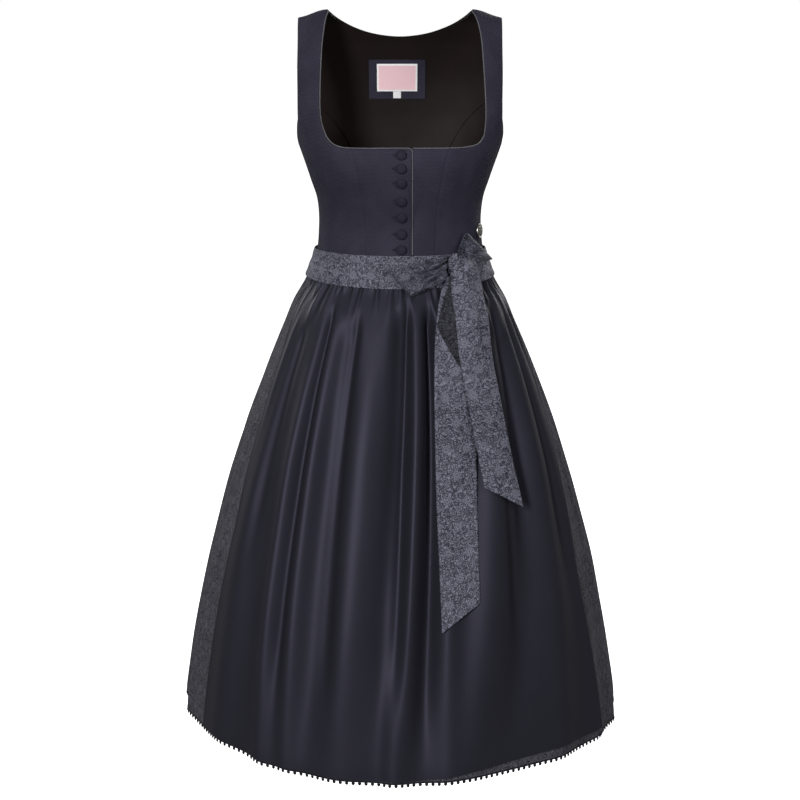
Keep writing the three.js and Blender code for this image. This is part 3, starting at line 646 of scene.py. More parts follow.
def jacquard(x, y):
    """Tone-on-tone scrolls and small flowers, 0 on the ground and 1 on the figures' lines."""
    x, y = x / JACQUARD_SCALE, y / JACQUARD_SCALE
    warp = noise(x, y, 17, 17, 1, 3)
    wx = x + (warp - 0.5) * 16
    wy = y + (noise(x, y, 15, 15, 1, 8) - 0.5) * 16
    flowers, near = blossom(x, y, REPEAT_X, REPEAT_Y, 8, 8)
    small, near_small = blossom(x + 21, y + 17, REPEAT_X, REPEAT_Y, 5, 6)
    clear = near.ramp(8.5, 10) * near_small.ramp(5.5, 7)
    scrolls = curls(wx, wy, 17, 15, 5.4, 1).max(curls(wx + 8.5, wy + 5, 19, 17, 4.6, -1))
    stems = (noise(x, y, 13, 13, 1, 5) - 0.5).line(0.012, 0.016)
    leaves = (noise(wx, wy, 7, 9, 0.5, 11) - 0.57).line(0.02, 0.03) * 0.7
    return flowers.max(small).max(scrolls.max(stems).max(leaves) * clear)


def ripples(field, length):
    """A sine wave of a length in millimetres."""
    return (field * (2 * math.pi / length)).sin()


def make_jacquard(name, ground, figure, roughness, specular, slubs):
    """Jacquard with figures on a ground. slubs is how uneven and creased the cloth looks."""
    material, surface = new_material(name, ground, roughness, specular)
    x, y = plan_of(surface)
    figures = jacquard(x, y)
    streaks = noise(x, y, 26, 2.2, 3, 1)
    cloudy = noise(x, y, 60, 90, 2, 6)
    shade = figures * 0.72 + (streaks - 0.5) * 0.55 * slubs + (cloudy - 0.5) * 0.45
    paint(surface, shade.ramp(-0.25, 0.95), ground, figure)
    weave = (ripples(x, 0.9) + ripples(y, 0.9)) * 0.04
    creased = noise(x, y, 30, 4.5, 3, 9) * 1.1 * slubs
    relief(surface, weave - figures * 0.7 + creased, 0.7)
    set_inputs(surface, {"Roughness": figures * 0.12 + roughness})
    return material


def make_satin(name, colour, dark):
    """Satin with a soft bluish sheen."""
    material, surface = new_material(name, colour, 0.55, 0.34, tint=(0.72, 0.70, 1))
    x, y = plan_of(surface)
    grain = noise(x, y, 2.2, 0.7, 2, 2)
    cloudy = noise(x, y, 45, 70, 3, 4)
    paint(surface, ((grain - 0.5) * 0.9 + (cloudy - 0.5) * 0.5 + 0.5).ramp(0, 1), colour, dark)
    twill = ripples(x * 1.6 + y * 1.6, 2) * 0.05
    relief(surface, twill + grain * 0.25, 0.25)
    set_inputs(surface, {"Roughness": grain * 0.12 + 0.49})
    return material


def make_dobby(name, colour, light, pitch):
    """Bodice cloth: rows of small woven dots, staggered so that they run aslant."""
    material, surface = new_material(name, colour, 0.66, 0.08)
    x, y = plan_of(surface)
    dx, dy = lattice(x, y, pitch, pitch * 0.62)
    dots = polar(dx, dy * 1.25)[0].ramp(pitch * 0.36, pitch * 0.16)
    mottled = noise(x, y, 30, 40, 3, 4)
    paint(surface, (dots * 0.55 + (mottled - 0.5) * 0.6 + 0.2).ramp(0, 1), colour, light)
    relief(surface, dots + noise(x, y, 0.9, 0.9, 2, 1) * 0.4, 0.3)
    return material


def make_plain(name, colour, other, roughness, size_x, size_y, specular=0.2, depth=0.15):
    material, surface = new_material(name, colour, roughness, specular)
    x, y = plan_of(surface)
    grain = noise(x, y, size_x, size_y, 3, 1)
    cloudy = noise(x, y, 35, 50, 2, 7)
    paint(surface, (grain * 0.6 + cloudy * 0.4).ramp(0.3, 0.7), colour, other)
    relief(surface, grain, depth)
    return material


def make_label(name, colour, border, half_x, half_y, width):
    """A bare woven label with a border all round."""
    material, surface = new_material(name, colour, 0.6, 0.25)
    x, y = plan_of(surface)
    edge = (x.abs() - (half_x - width)).max(y.abs() - (half_y - width))
    paint(surface, edge.ramp(-0.25, 0.25), colour, border)
    relief(surface, ripples(y, 0.8) * 0.5 + noise(x, y, 1, 1, 2, 1), 0.12)
    return material


BODICE_CLOTH = make_dobby("bodice_cloth", (0.0200, 0.0190, 0.031), (0.050, 0.048, 0.070), 3.1)
BUTTON_CLOTH = make_dobby("button_cloth", (0.0175, 0.0168, 0.027), (0.034, 0.033, 0.048), 2.4)
APRON_SATIN = make_satin("apron_satin", (0.0158, 0.0155, 0.0215), (0.0110, 0.0108, 0.0150))
SKIRT_JACQUARD = make_jacquard(
    "skirt_jacquard", (0.112, 0.110, 0.134), (0.016, 0.016, 0.021), 0.55, 0.1, 0.6
)
TIE_JACQUARD = make_jacquard("tie_jacquard", (0.172, 0.172, 0.222), (0.022, 0.022, 0.033), 0.5, 0.12, 1)
# The loops' cloth is a darker copy of the tie jacquard: painted shade, so that the loops look turned away
# from the light.
TIE_PAINTED_SHADE = make_jacquard("tie_jacquard_painted_shade", (0.128, 0.128, 0.166), (0.018, 0.018, 0.027), 0.5, 0.12, 1)
# The tie's reverse side: darker than its face, and darker again by painted shade from the short end that
# lies over it.
TIE_REVERSE_AND_SHADE = make_jacquard("tie_reverse_and_painted_shade", (0.052, 0.052, 0.064), (0.010, 0.010, 0.014), 0.55, 0.1, 1)
LINING = make_plain(
    "lining_cloth", (0.0125, 0.0085, 0.0078), (0.0100, 0.0070, 0.0065), 0.6, 1.4, 1.4, 0.12
)
SKIRT_INSIDE = make_plain("skirt_inside", (0.016, 0.016, 0.022), (0.012, 0.012, 0.017), 0.7, 1.4, 1.4, 0.1)
PIPING = make_plain("piping_cord", (0.15, 0.15, 0.165), (0.06, 0.06, 0.07), 0.75, 1.2, 1.6, 0.1, 0.4)
EDGING_YARN = make_plain(
    "edging_yarn", (0.016, 0.016, 0.022), (0.010, 0.010, 0.014), 0.8, 0.9, 0.9, 0.15, 0.4
)
THREAD = make_plain("thread", (0.015, 0.015, 0.024), (0.010, 0.010, 0.016), 0.6, 0.8, 0.8)
LABEL_HALF_X, LABEL_HALF_Y, LABEL_BORDER = 30, 21, 2.6
LABEL_CLOTH = make_label(
    "label_cloth", (0.86, 0.58, 0.62), (0.90, 0.88, 0.88), LABEL_HALF_X, LABEL_HALF_Y, LABEL_BORDER
)
TAG_CLOTH = make_plain("tag_cloth", (0.86, 0.85, 0.85), (0.74, 0.73, 0.74), 0.6, 0.9, 0.9)


def make_silver():
    """Darkened silver, bright on what is raised."""
    material, surface = new_material("old_silver", (0.40, 0.38, 0.35), 0.38, 0.5, 1.0)
    x, y = plan_of(surface)
    raised = Field(add_node(surface.id_data, "ShaderNodeNewGeometry", {}).outputs["Pointiness"])
    tarnish = noise(x, y, 3, 3, 3, 2)
    bright = (raised * 3 - 1 + tarnish * 0.5).ramp(0.1, 0.9)
    paint(surface, bright, (0.06, 0.056, 0.05), (0.40, 0.385, 0.35))
    relief(surface, tarnish, 0.1)
    return material


SILVER = make_silver()


def rows(start, end, count):
    return np.linspace(start, end, count)[:, None]


def columns(start, end, count):
    return np.linspace(start, end, count)[None]


# Bodice. Its flat coordinates follow the form, so that the dots run on over every seam.
BODICE_ROUND, BODICE_STRETCH = 122, 1.04


def bodice_plan(angle, level):
    return angle * BODICE_ROUND, level * BODICE_STRETCH


def drag(angle, level, seed):
    """Slight unevenness of cloth that is stretched over a figure."""
    waves = np.sin(9 * angle + seed + level / 31) * np.sin(level / 17 + 3 * angle + seed)
    return 0.35 * waves + 0.2 * np.sin(23 * angle - level / 13 + seed)


# How far one panel's edge reaches under the next
TUCK = 0.8


def seam_dip(share):
    """The cloth turns in a little at a seam, where share is 0."""
    return -0.15 * (1 - smooth(share, 0, 0.05))


def tucked_under(share):
    """An edge that passes a little way under the next panel, where share is 0."""
    return -0.5 * (1 - smooth(share, 0.006, 0.03))


def lay(cloth, angle, level, lift, before=None):
    return cloth.grid(angle, level, lift, bodice_plan(angle, level), before)


def sew_panel(cloth, name):
    """Makes a lined panel of the bodice."""
    piece = cloth.piece(name, "bodice_cloth", BODICE_CLOTH, LINING)


OVERLAP_LIFT = BODICE_WALL + SEAM


def overlap_lift(x):
    """How far the right front stands out, where it comes over the left one."""
    return OVERLAP_LIFT * smooth(x, -40, UNDERLAP - 4)


CORNER_ROUND = 4


def centre_front(name, seam_side, edge_x, raised):
    """From the princess seam to the front edge. The right one lies on top, and its corner is rounded."""
    cloth = Cloth(form, BODICE_WALL)
    up, share = rows(0, 1, 90), columns(0, 1, 36)
    level = mix(WAIST, NECK_FRONT, up)
    outer = seam_side * (FRONT_SEAM(level)[0] - SEAM / 2)
    x = mix(outer, edge_x, share)
    if raised:
        past = np.clip(x - (edge_x - CORNER_ROUND), 0, CORNER_ROUND)
        drop = CORNER_ROUND - np.sqrt(CORNER_ROUND**2 - past**2)
        level = level - drop * smooth(up, 0.9, 1)
    angle = front_angle(x, level)
    lift = (overlap_lift(x) if raised else 0) + drag(angle, level, 1 if raised else 4) * 0.5
    lay(cloth, angle, level, lift + seam_dip(share))
    sew_panel(cloth, name)


centre_front("centre_front_right", -1, OVERLAP, True)
centre_front("centre_front_left", 1, UNDERLAP, False)

# A side front's upper edge runs over spots 0 to SIDE, with the strap between NECK and ARM
NECK, ARM, SIDE = 3, 7, 10
RIDGE = -0.0005
OUTER_TOPS = [-166, -160.5, -155, ARMHOLE_TURN, -169, -182, ARMHOLE_BASE]


def through(spots, place):
    """A smooth curve through values at 0, 1, 2 and so on."""
    table = Sections(*[(-k, value) for k, value in enumerate(spots)])
    return table(-np.asarray(place, float))[0]


def side_front_panel(hand):
    side = SIGN[hand]
    corner = CORNERS[hand]
    tops = np.array([spot[1] for spot in corner] + OUTER_TOPS, float)
    angles = np.concatenate(
        [
            [front_angle(x, level) for x, level, _ in corner],
            [
                front_angle(mix(corner[NECK][0], STRAP_OUTER, (k - NECK) / (ARM - NECK)), tops[k])
                for k in range(NECK + 1, ARM + 1)
            ],
            mix(front_angle(STRAP_OUTER, ARMHOLE_TURN), math.pi / 2, np.array([1, 2, 3]) / 3),
        ]
    )

    def at_top(values, k):
        found = np.zeros_like(k)
        for start, end in [(0, NECK), (NECK, ARM), (ARM, SIDE)]:
            curve = through(values[start : end + 1], np.clip(k, start, end) - start)
            found = np.where((k >= start) & (k <= end), curve, found)
        return found

    cloth = Cloth(form, BODICE_WALL)
    fine = 7
    k = columns(0, SIDE, SIDE * fine + 1)
    up = rows(0, 1, 62)
    top, top_angle = at_top(tops, k), at_top(angles, k)
    level = mix(WAIST, top, up)
    seam = front_angle(FRONT_SEAM(level)[0] - TUCK, level)
    seam_top = front_angle(FRONT_SEAM(top)[0] - TUCK, top)
    share_top = (top_angle - seam_top) / (side_front(top) - seam_top)
    share = np.where(k == 0, 0, np.where(k == SIDE, 1, mix(k / SIDE, share_top, up)))
    angle = mix(seam, side_front(level), share)
    order = slice(None) if side > 0 else slice(None, None, -1)
    lift = tucked_under(share) + seam_dip(1 - share) + 0.6 * drag(angle * side, level, 2)
    body = lay(cloth, (side * angle)[:, order], level[:, order], lift[:, order])
    joint = body[-1][order][NECK * fine : ARM * fine + 1][order]
    k = columns(NECK, ARM, (ARM - NECK) * fine + 1)[:, order]
    # The strap's rows lie closer together where it turns over the shoulder.
    up = 1 - (1 - rows(0, 1, 80)[1:]) ** 1.8
    level = mix(at_top(tops, k), RIDGE, up)
    inner = STRAP_INNER(level)[0 if hand == "right" else 1]
    x = mix(inner, STRAP_OUTER, (k - NECK) / (ARM - NECK))
    angle = side * front_angle(x, level)
    lay(cloth, angle, level, 0.6 * drag(angle, level, 2), joint)
    sew_panel(cloth, "side_front_" + hand)


side_front_panel("right")
side_front_panel("left")

BACK_LEVELS = [WAIST, -322, -284, -248, -214, -185, -160, -138, BACK_SEAM_TOP]


def centre_back_half(level):
    return np.where(level < BACK_SEAM_TOP, BACK_SEAM(level)[0] - SEAM / 2, STRAP_OUTER)


def neck_back(x):
    return NECK_BACK * np.maximum(1 - (x / STRAP_INNER(0)[0]) ** 2, 0) ** 0.78


def centre_back(name, wall, lift, inset, top_share, count, slot, material, inside):
    """The back with both strap backs, or its lining, which ends a little short of every edge."""
    cloth = Cloth(form, wall)
    share = columns(1, -1, count)
    level = rows(WAIST, BACK_SEAM_TOP, count)
    x = share * (centre_back_half(level) - inset)
    angle = back_angle(x, level)
    lower = lay(cloth, angle, level, lift + 0.5 * drag(angle, level, 5))
    top = np.minimum(neck_back(np.abs(share) * STRAP_OUTER), RIDGE)
    up = (1 - (1 - rows(0, 1, count)[1:]) ** 2) * top_share
    level = mix(BACK_SEAM_TOP, top, up)
    angle = back_angle(share * (STRAP_OUTER - inset), level)
    lay(cloth, angle, level, lift + 0.5 * drag(angle, level, 5), lower[-1])
    return cloth.piece(name, slot, material, inside)


LINING_LIFT = -BODICE_WALL - 1.1
back = centre_back("centre_back", BODICE_WALL, 0, 0, 1, 85, "bodice_cloth", BODICE_CLOTH, LINING)
lining = centre_back("back_lining", LINING_WALL, LINING_LIFT, 1.5, 0.985, 61, "lining_cloth", LINING, None)


def side_back_panel(hand):
    side = SIGN[hand]
    cloth = Cloth(form, BODICE_WALL)
    up, share = rows(0, 1, 70), columns(0, 1, 45)
    back_level = np.interp(up, np.linspace(0, 1, len(BACK_LEVELS)), BACK_LEVELS)
    level = mix(back_level, mix(WAIST, ARMHOLE_BASE, up), np.sin(share * math.pi / 2))
    seam = back_angle(BACK_SEAM(level)[0] - TUCK, level)
    angle = mix(seam, side_back(level) - 0.008, share)
    order = slice(None, None, -1) if side > 0 else slice(None)
    lift = tucked_under(share) + tucked_under(1 - share) + 0.6 * drag(angle, level, 6)
    lay(cloth, (side * angle)[:, order], level[:, order], lift[:, order])
    sew_panel(cloth, "side_back_" + hand)


side_back_panel("right")
side_back_panel("left")

# Label, its patch and the size tag inside the back, all left bare
LABEL_MIDDLE = -4.3
PATCH_LIFT = LINING_LIFT - LINING_WALL - 5 * SEAM
LABEL_LIFT = PATCH_LIFT - LABEL_WALL - 2 * SEAM


def inside_back(name, lift, half, bottom, top, slot, material, curl=0.0):
    """A small flat piece on the back's lining. Its ends curl off the lining a little."""
    cloth = Cloth(form, LABEL_WALL)
    share, level = columns(1, -1, 41), rows(bottom, top, 31)
    angle = back_angle(share * half + LABEL_MIDDLE, level)
    middle = (bottom + top) / 2
    cloth.grid(angle, level, lift - curl * np.abs(share) ** 6, (-share * half, level - middle))
    piece = cloth.piece(name, slot, material)


inside_back("label_patch", PATCH_LIFT, 42, -130, -70.5, "bodice_cloth", BODICE_CLOTH, 0.3)
inside_back("label", LABEL_LIFT, LABEL_HALF_X, -118, -76, "label_cloth", LABEL_CLOTH, 0.2)
inside_back("size_tag", LABEL_LIFT, 5.8, -128.6, -118.3, "tag_cloth", TAG_CLOTH)


# Piping: a cord laid from two plies, between the neckline's spots and down the right front's edge
PIPING_RADIUS = 0.9
PIPING_OUT = PIPING_RADIUS + SEAM + 0.15
CORD_SIDES, CORD_STEP = 12, 1.1
PLY_TURN, PLY_DEPTH = 3.2, 0.12
FRONT_FOOT = -338


def piping(name, places):
    places = np.asarray(places, float)
    lengths = lengths_along(places)
    count = int(lengths[-1] / CORD_STEP)
    at = np.linspace(0, lengths[-1], count)
    line = read_at(at, lengths, places)
    line[1:-1] = (line[:-2] + 2 * line[1:-1] + line[2:]) / 4
    along = unit(np.gradient(line, axis=0))
    side = np.array([0.0, 0.3, 1.0])
    turn = np.arange(CORD_SIDES) * 2 * math.pi / CORD_SIDES
    points = []
    for place, direction, distance in zip(line, along, at):
        side = unit(side - direction * side.dot(direction))
        other = np.cross(direction, side)
        plies = np.abs(np.cos(turn + distance * math.pi / PLY_TURN))
        swell = PIPING_RADIUS * (1 - PLY_DEPTH + PLY_DEPTH * plies)
        points.append(place + np.outer(np.cos(turn) * swell, side) + np.outer(np.sin(turn) * swell, other))
    quads = ring_quads(count, CORD_SIDES)[:, TURNED_OVER]
    plan = np.stack([np.tile(np.arange(CORD_SIDES) * PIPING_RADIUS, count), np.repeat(at, CORD_SIDES)], 1)
    settle(make_mesh(name, np.concatenate(points), quads, plan, [PIPING], sharp=80), "piping_cord", name)


def neck_cord(x, level, slant, lift=0.0):
    """A place of the cord beside the neckline's edge, which slants there by so many degrees."""
    away = np.sign(x) * PIPING_OUT * math.sin(math.radians(slant))
    above = level + PIPING_OUT * math.cos(math.radians(slant))
    return on_front(x - away, above, lift - BODICE_WALL / 2)


# Shares of the way up the strap, closer together near the shoulder
STRAP_SHARES = [0.992, 0.985, 0.97, 0.95, 0.92, 0.88, 0.82, 0.74]
STRAP_SHARES += [0.65, 0.56, 0.46, 0.36, 0.26, 0.17, 0.1, 0.04]


def strap_cord(hand):
    side = SIGN[hand]
    corner = CORNERS[hand]
    places = []
    for up in STRAP_SHARES:
        level = mix(corner[NECK][1], RIDGE, up)
        places.append(neck_cord(side * STRAP_INNER(level)[0 if hand == "right" else 1], level, 90))
    for k in np.linspace(NECK, 0, 13):
        x, level, slant = (through([spot[c] for spot in corner], k) for c in range(3))
        places.append(neck_cord(side * x, level, float(slant)))
    return places


FRONT_CORD_X, FRONT_CORD_LIFT = OVERLAP + PIPING_OUT, PIPING_RADIUS + SEAM + 0.2
piping(
    "piping_right",
    [
        *strap_cord("right"),
        *[neck_cord(x, NECK_FRONT, 0, overlap_lift(x)) for x in np.linspace(-64, OVERLAP - 5, 22)],
        neck_cord(OVERLAP - 3.4, NECK_FRONT - 0.3, -12, OVERLAP_LIFT),
        neck_cord(OVERLAP - 1.6, NECK_FRONT - 1, -35, OVERLAP_LIFT),
        neck_cord(OVERLAP - 0.4, NECK_FRONT - 2.4, -65, OVERLAP_LIFT),
        *on_front(FRONT_CORD_X, np.linspace(NECK_FRONT - 5, FRONT_FOOT, 40), FRONT_CORD_LIFT),
    ],
)
piping("piping_left", [*strap_cord("left"), *[neck_cord(x, NECK_FRONT, 0) for x in np.linspace(64, 18, 14)]])


def stand_on(angle, level, lift):
    """Places points (across, out, up) on the form at an angle and level."""
    foot = lifted(form, angle, level, lift)
    out = unit(lifted(form, angle, level, lift + 1) - foot)
    across = unit(np.cross(out, [0, 0, 1]))
    up = np.cross(across, out)
    return lambda points: foot + np.asarray(points) @ np.array([across, out, up])


def disc(name, profile, wide, high, rings, sides, place, slot, material, shape, tall=1.0):
    """A round piece from its profile of (radius, height), in shares of wide and high, changed by
    shape. tall is how much taller than broad it is."""
    profile = np.array(profile) * (wide, high)
    lengths = lengths_along(profile)
    radius, height = read_at(np.linspace(0, lengths[-1], rings), lengths, profile).T[..., None]
    turn = np.arange(sides)[None] * 2 * math.pi / sides
    radius, height = shape(*np.broadcast_arrays(radius, height, turn))
    x, z = np.cos(turn) * radius, np.sin(turn) * radius * tall
    points = place(np.stack([x, height, z], -1).reshape(-1, 3))
    plan = np.stack([x, z], -1).reshape(-1, 2)
    settle(make_mesh(name, points, ring_quads(rings, sides), plan, [material], sharp=60), slot, name)


# Covered buttons, and the worked buttonholes that they come through. Each has its level and how far
# it stands off the cloth.
BUTTONS = [(-195, 0.2), (-213, 0.2), (-233, 0.5), (-259, 0.8), (-283, 0.95), (-308, 0.8), (-330.5, 0.8)]
BUTTON_X = 2
BUTTON_RADIUS, BUTTON_HEIGHT = 7.3, 5.6
BUTTON_PROFILE = [(0.02, 0), (0.35, 0), (0.35, 0.18), (0.93, 0.2), (1, 0.36), (0.97, 0.52), (0.86, 0.72)]
BUTTON_PROFILE += [(0.68, 0.86), (0.45, 0.95), (0.22, 0.99), (0.01, 1)]


def tucked(seed):
    """The cloth is drawn in round the rim in small uneven tucks."""

    def shape(radius, height, turn):
        rim = np.exp(-(((height / BUTTON_HEIGHT - 0.3) / 0.2) ** 2))
        tucks = np.sin(17 * turn + seed) + 0.6 * np.sin(11 * turn + 2 * seed)
        return radius * (1 + 0.012 * rim * tucks), height

    return shape


for number, (level, seat) in enumerate(BUTTONS, 1):
    disc(
        f"button_{number}",
        BUTTON_PROFILE,
        BUTTON_RADIUS,
        BUTTON_HEIGHT,
        26,
        36,
        stand_on(front_angle(BUTTON_X, level), level, OVERLAP_LIFT + seat),
        "button_cloth",
        BUTTON_CLOTH,
        tucked(number),
    )


# One stitch: its spots, as shares of its length, width and height, and its faces
STITCH_WIDE, STITCH_HIGH = 0.28, 0.22
STITCH_SPOTS = [
    (-0.5, 0, 0),
    (-0.3, 0.8, 0.7),
    (0.3, 0.8, 0.7),
    (0.5, 0, 0),
    (0.3, -0.8, 0.7),
    (-0.3, -0.8, 0.7),
    (-0.3, 0, 1.5),
    (0.3, 0, 1.5),
]
STITCH_FACES = [(0, 6, 1), (1, 6, 7), (1, 7, 2), (2, 7, 3), (3, 7, 4), (4, 7, 6), (4, 6, 5), (5, 6, 0)]


def stitches(name, line, out, slot, pitch=2.6, length=1.9):
    """A row of small stitches lying along a line of places, out being the direction off the cloth."""
    lengths = lengths_along(line)
    count = int(lengths[-1] / pitch)
    centre = (np.arange(count) + 0.5) * lengths[-1] / count
    middle, normal = read_at(centre, lengths, line), unit(read_at(centre, lengths, out))
    along = unit(read_at(centre + 0.5, lengths, line) - read_at(centre - 0.5, lengths, line))
    side = np.cross(along, normal)
    spots = [
        middle + along * (a * length) + side * (s * STITCH_WIDE) + normal * (n * STITCH_HIGH)
        for a, s, n in STITCH_SPOTS
    ]
    points = np.stack(spots, 1).reshape(-1, 3)
    triangles = repeated(np.array(STITCH_FACES), len(spots), count)
    plan = np.stack([np.zeros(len(points)), np.repeat(centre, len(spots))], 1)
    return settle(make_mesh(name, points, triangles, plan, [THREAD]), slot)


def line_on(angle, level, lift):
    """Places on the form and the directions off it."""
    start = lifted(form, angle, level, lift)
    return start, lifted(form, angle, level, lift + 1) - start


# A buttonhole is a slit between two worked edges, beside its button. Its rings, from the outside in,
# have their share of its size and how far they stand out.
HOLE_RINGS = [(1.0, 0.05), (0.92, 0.5), (0.7, 0.62), (0.5, 0.3), (0.3, -0.1)]
HOLE_SIDES = 40
HOLE_X, HOLE_HALF, HOLE_TALL = BUTTON_X - 9.5, 3.6, 1.5


def buttonholes():
    turn = np.arange(HOLE_SIDES) * 2 * math.pi / HOLE_SIDES
    across = HOLE_HALF * np.sign(np.cos(turn)) * np.abs(np.cos(turn)) ** 0.6
    points = []
    for level, _ in BUTTONS:
        for share, lift in HOLE_RINGS:
            x = HOLE_X + across * (0.55 + 0.45 * share)
            up = HOLE_TALL * np.sin(turn) * share
            thread = OVERLAP_LIFT + (lift + 0.08 * np.cos(20 * turn))
            points.append(on_front(x, level + up, thread))
    points = np.concatenate(points)
    one = ring_quads(len(HOLE_RINGS), HOLE_SIDES)[:, TURNED_OVER]
    quads = repeated(one, len(HOLE_RINGS) * HOLE_SIDES, len(BUTTONS))
    settle(make_mesh("buttonholes", points, quads, points[:, [0, 2]], [THREAD]), "button_cloth")


buttonholes()
placket = np.linspace(NECK_FRONT - 6, FRONT_FOOT, 120)
placket_line = line_on(front_angle(OVERLAP - 3, placket), placket, OVERLAP_LIFT + 0.1)
stitches("placket_stitches", *placket_line, "bodice_cloth")

# The silver ornament: a generic rosette of eight petals in a beaded rim
ORNAMENT_RADIUS = 10.5
ORNAMENT_PROFILE = [(0.01, 0), (1, 0), (1, 1.2), (0.97, 1.8), (0.9, 2), (0.82, 1.5), (0.6, 1.7), (0.3, 2.1)]
ORNAMENT_PROFILE += [(0, 2.2)]


def rosette(radius, height, turn):
    share = radius / ORNAMENT_RADIUS
    top = height > 0.8
    petal = 0.62 + 0.2 * np.abs(np.cos(4 * turn))
    raised = 0.55 * (1 - smooth(share, petal - 0.08, petal)) * (0.5 + 0.5 * np.abs(np.cos(4 * turn)))
    heart = 0.5 * (1 - smooth(share, 0.14, 0.2))
    beads = 0.25 * np.abs(np.sin(24 * turn)) * np.exp(-(((share - 0.91) / 0.06) ** 2))
    return radius, height + np.where(top, raised * (share > 0.2) + heart + beads, 0)


disc(
    "side_ornament",
    ORNAMENT_PROFILE,
    ORNAMENT_RADIUS,
    1,
    40,
    144,
    stand_on(math.radians(74), -312, 2 * SEAM),
    "old_silver",
    SILVER,
    rosette,
)


# Skirt
UNDER_APRON = (60, 68)
RUMPLE_START, RUMPLE_FULL = -400, -520


def clear_of_apron(angle):
    """0 under the apron, where the skirt's small gathers are left out, and 1 beside it."""
    return smooth(np.abs(angle), *np.radians(UNDER_APRON))


def hem_level(angle):
    rise = HEM_RISE * folds(angle, np.float64(HEM)) * frontward(angle)
    return HEM_EDGE(np.degrees(wrapped(angle)))[0] + rise


def rumple(angle, level, seed):
    """Slight softness of hanging cloth, less than a millimetre or so."""
    return (
        0.5 * np.sin(17 * angle + level / 90 + seed) * np.sin(level / 61 + seed)
        + 0.35 * np.sin(31 * angle - level / 47 + 2 * seed)
        + 0.25 * np.sin(level / 19 + 9 * angle + seed) * np.sin(13 * angle + seed)
    ) * smooth(-level, -RUMPLE_START, -RUMPLE_FULL)


def skirt_lift(angle, level):
    shown = clear_of_apron(wrapped(angle))
    return folds(angle, level) + shown * (gathers(angle, level, SKIRT_GATHERS) + rumple(angle, level, 2))


def down_rows(count):
    """Shares from the hem, 0, to the top, 1, closer together near the top."""
    return 1 - (1 - rows(0, 1, count)) ** 1.25


SKIRT_LENGTH = 735
# The pattern's width round each half, wider than the hem, so that its figures look gathered
SKIRT_WIDTH = 1400
SIDE_SEAM = math.pi / 2
# How far the front reaches under the back at the side seams, round and in
SEAM_UNDER, UNDER_DEPTH = 0.004, 0.5


def skirt_half(name, angle, middle):
    cloth = Cloth(form, SKIRT_WALL)
    up = down_rows(96)
    flat = (angle - middle) / math.pi * SKIRT_WIDTH
    level = mix(hem_level(angle), WAIST - SEAM, up)
    lift = skirt_lift(angle, level)
    if middle == 0:
        lift = lift - np.where(np.abs(angle) > SIDE_SEAM, UNDER_DEPTH, 0)
    cloth.grid(angle, level, lift, (flat, up * SKIRT_LENGTH))
    return cloth.piece(name, "skirt_jacquard", SKIRT_JACQUARD, SKIRT_INSIDE)


front_columns = np.concatenate(
    [
        [-SIDE_SEAM - SEAM_UNDER],
        np.linspace(-SIDE_SEAM, -1.16, 96),
        np.linspace(-1.15, 1.16, 200),
        np.linspace(1.17, SIDE_SEAM, 92),
        [SIDE_SEAM + SEAM_UNDER],
    ]
)[None]
skirt_front = skirt_half("skirt_front", front_columns, 0)
skirt_back = skirt_half("skirt_back", columns(SIDE_SEAM, SIDE_SEAM + math.pi, 400), math.pi)


# The picot edging: a narrow tape with rounded picots hanging from it
PICOT_PITCH = 9
PICOT_WIDE, PICOT_TALL, PICOT_THICK = 2.5, 2.7, 1.1
PICOT_SIDES, PICOT_RINGS = 10, 8
# The tape's upper edge is sewn a little behind the hem.
EDGING_UNDER, EDGING_BEHIND = 0.5, 0.1
EDGE_GAP = 0.0005


def edging(name, start, end):
    cloth = Cloth(form, SKIRT_WALL)
    angle = columns(start + EDGE_GAP, end - EDGE_GAP, 420)
    below = rows(EDGING, -EDGING_UNDER, 4)
    hem = hem_level(angle)
    lift = skirt_lift(angle, hem) - EDGING_BEHIND
    cloth.grid(angle, hem - below, lift)
    line = lifted(form, angle[0], hem[0] - EDGING - PICOT_TALL * 0.75, lift[0] - SKIRT_WALL / 2)
    lengths = lengths_along(line)
    count = int(lengths[-1] / PICOT_PITCH)
    at = (np.arange(count) + 0.5) * lengths[-1] / count
    middle, along = read_at(at, lengths, line), unit(read_at(at, lengths, np.gradient(line, axis=0)))
    down = np.array([0, 0, -1.0])
    side = unit(np.cross(along, down))
    spots = []
    for high in np.linspace(-1, 1, PICOT_RINGS):
        # Each is widest above its middle, where it leaves the tape.
        wide = math.sqrt(max(1 - high**2, 0.0004)) * (1 - 0.2 * high)
        for turn in np.arange(PICOT_SIDES) * 2 * math.pi / PICOT_SIDES:
            spots.append(
                middle
                + along * (math.cos(turn) * wide * PICOT_WIDE)
                + side * (math.sin(turn) * wide * PICOT_THICK)
                + down * (high * PICOT_TALL)
            )
    points = np.stack(spots, 1).reshape(-1, 3)
    quads = repeated(ring_quads(PICOT_RINGS, PICOT_SIDES), len(spots), count)
    picots = make_mesh(name + "_picots", points, quads, points[:, [0, 2]], [EDGING_YARN])
    settle(picots, "edging_yarn")
    return cloth.piece(name, "edging_yarn", EDGING_YARN), picots


edging_front = edging("edging_front", -SIDE_SEAM, SIDE_SEAM)
edging_back = edging("edging_back", SIDE_SEAM, SIDE_SEAM + math.pi)


# Apron
def apron_lift(angle, level):
    fine = gathers(angle, level, APRON_GATHERS) + 0.5 * rumple(angle, level, 5)
    return folds(angle, level) + APRON_ROOM(level)[0] + APRON_WALL + fine + 0.5


# How far the apron ends above the skirt, by direction
APRON_ABOVE = Sections([90, 9], [60, 12], [48, 14], [33, 14], [20, 10], [10, 5.5], [0, 3], [-90, 3])


def apron_hem(angle):
    return hem_level(angle) + APRON_ABOVE(np.degrees(angle))[0]


APRON_WIDTH, APRON_LENGTH = 960, 700
# How far in from the edges the hems are sewn, and how deep their line is drawn in
HEM_DEPTH, SIDE_HEM, HEM_DRAW = 33, 12, 0.45


